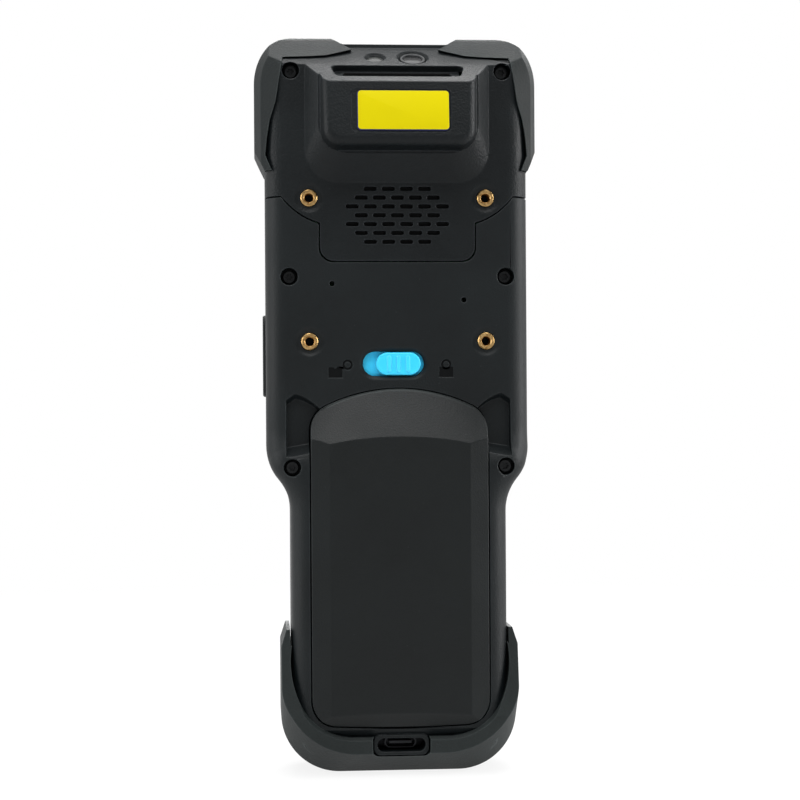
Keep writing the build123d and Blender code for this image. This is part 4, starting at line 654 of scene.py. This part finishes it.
# inner and small nodes keep their solid and take a finish
for name, finish in (
    ("lcd_module", panel_dark), ("scan_window", window_red), ("camera_lens", lens_glass),
    ("flash_lens", flash_clear), ("label_plate", label_navy), ("battery_base", inner_black),
    ("battery_cells", cell_foil), ("battery_contacts", gold), ("battery_connector", inner_black),
    ("latch_spring", bright_steel), ("main_board", board_laminate), ("keypad_board", board_laminate),
    ("keypad_pad", pad_silicone), ("scan_engine", cast_metal), ("camera_module", inner_black),
    ("speaker", inner_black), ("side_switches", inner_black), ("housing_seal", seal_grey),
):
    nodes[name].data.materials[0] = finish


# ---------------------------------------------------------------- stage, lights and camera
def seen_directly(tree, *kinds):
    """1 for rays of these kinds, and 0 for light that falls on other things."""
    path = add_node(tree, "ShaderNodeLightPath")
    seen = path.outputs[kinds[0]]
    for kind in kinds[1:]:
        seen = reckon(tree, "MAXIMUM", seen, path.outputs[kind])
    return seen


def make_floor():
    """Plain pale floor: white where it is seen or reflected, but near the terminal it keeps its shadow."""
    bm = bmesh.new()
    bmesh.ops.create_grid(bm, x_segments=1, y_segments=1, size=6.0)
    mesh = mesh_from(bm, "floor")
    finish, tree, shader = new_finish("floor_white")
    shader.inputs["Base Color"].default_value = (0.82, 0.82, 0.82, 1)
    shader.inputs["Roughness"].default_value = 0.9
    shader.inputs["Specular IOR Level"].default_value = 0.0
    glow = add_node(tree, "ShaderNodeEmission", Strength=1.0)
    reach = add_node(tree, "ShaderNodeVectorMath", [(0, piece_space(tree))], at_operation="LENGTH")
    far = spread(tree, reach.outputs["Value"], 0.10, 0.55, 0.86, 1.0)
    seen = seen_directly(tree, "Is Camera Ray", "Is Glossy Ray", "Is Transmission Ray")
    share = reckon(tree, "MULTIPLY", seen, far)
    mix = tree.nodes.new("ShaderNodeMixShader")
    tree.links.new(share, mix.inputs[0])
    tree.links.new(shader.outputs[0], mix.inputs[1])
    tree.links.new(glow.outputs[0], mix.inputs[2])
    tree.links.new(mix.outputs[0], tree.nodes["Material Output"].inputs["Surface"])
    mesh.materials.append(finish)
    floor = bpy.data.objects.new("floor", mesh)
    bpy.context.scene.collection.objects.link(floor)


def make_world():
    """White where it is seen, dimmer in reflections on the camera's side, and a low even light."""
    world = bpy.data.worlds.new("studio")
    world.use_nodes = True
    bpy.context.scene.world = world
    tree = world.node_tree
    background = tree.nodes["Background"]
    background.inputs["Color"].default_value = (1, 1, 1, 1)
    toward = add_node(tree, "ShaderNodeTexCoord").outputs["Generated"]
    axes = add_node(tree, "ShaderNodeSeparateXYZ", [("Vector", toward)])
    side = spread(tree, axes.outputs["Y"], -0.45, 0.05, 0.0, 1.0)
    mirrored = reckon(tree, "MULTIPLY", seen_directly(tree, "Is Glossy Ray"), side)
    seen = reckon(tree, "MAXIMUM", seen_directly(tree, "Is Camera Ray", "Is Transmission Ray"), mirrored)
    tree.links.new(spread(tree, seen, 0.0, 1.0, 0.30, 1.0), background.inputs["Strength"])


def add_softbox(name, place, aim, width, high, watts):
    """A rectangular soft light at place, turned to aim."""
    light = bpy.data.lights.new(name, "AREA")
    light.shape = "RECTANGLE"
    light.size = width
    light.size_y = high
    light.energy = watts
    lamp = bpy.data.objects.new(name, light)
    lamp.location = place
    lamp.rotation_euler = (Vector(aim) - Vector(place)).to_track_quat("-Z", "Y").to_euler()
    bpy.context.scene.collection.objects.link(lamp)


def make_camera():
    """Long lens square to the back, a little from the left, level with the middle of the terminal."""
    aim = Vector((1.25, 5.5, 104.4)) * mm
    away = 555.0 * mm
    turn = radians(4.2)
    ahead = Vector((sin(turn), cos(turn), 0))
    right = Vector((cos(turn), -sin(turn), 0))
    tilt = radians(0.355)
    up = Vector((0, 0, 1)) * cos(tilt) + right * sin(tilt)
    across = right * cos(tilt) - Vector((0, 0, 1)) * sin(tilt)
    lens = bpy.data.cameras.new("camera")
    lens.lens = 87.54
    lens.sensor_width = 36.0
    lens.clip_start = 0.01
    camera = bpy.data.objects.new("camera", lens)
    bpy.context.scene.collection.objects.link(camera)
    facing_back = Matrix((across, up, -ahead)).transposed().to_4x4()
    camera.matrix_world = Matrix.Translation(aim - ahead * away) @ facing_back
    bpy.context.scene.camera = camera


make_floor()
make_world()
middle = (0.0, 0.0, 0.11)
add_softbox("key_light", (-0.05, -0.42, 0.85), middle, 0.70, 0.60, 6.3)
add_softbox("top_light", (0.0, 0.10, 0.95), middle, 0.60, 0.50, 5.0)
add_softbox("left_light", (-0.80, -0.06, 0.25), middle, 0.30, 0.80, 3.2)
add_softbox("right_light", (0.80, -0.04, 0.25), middle, 0.30, 0.80, 7.0)
add_softbox("front_light", (0.1, 0.70, 0.55), middle, 0.60, 0.50, 8.0)
make_camera()
bpy.context.scene.view_settings.view_transform = "Standard"
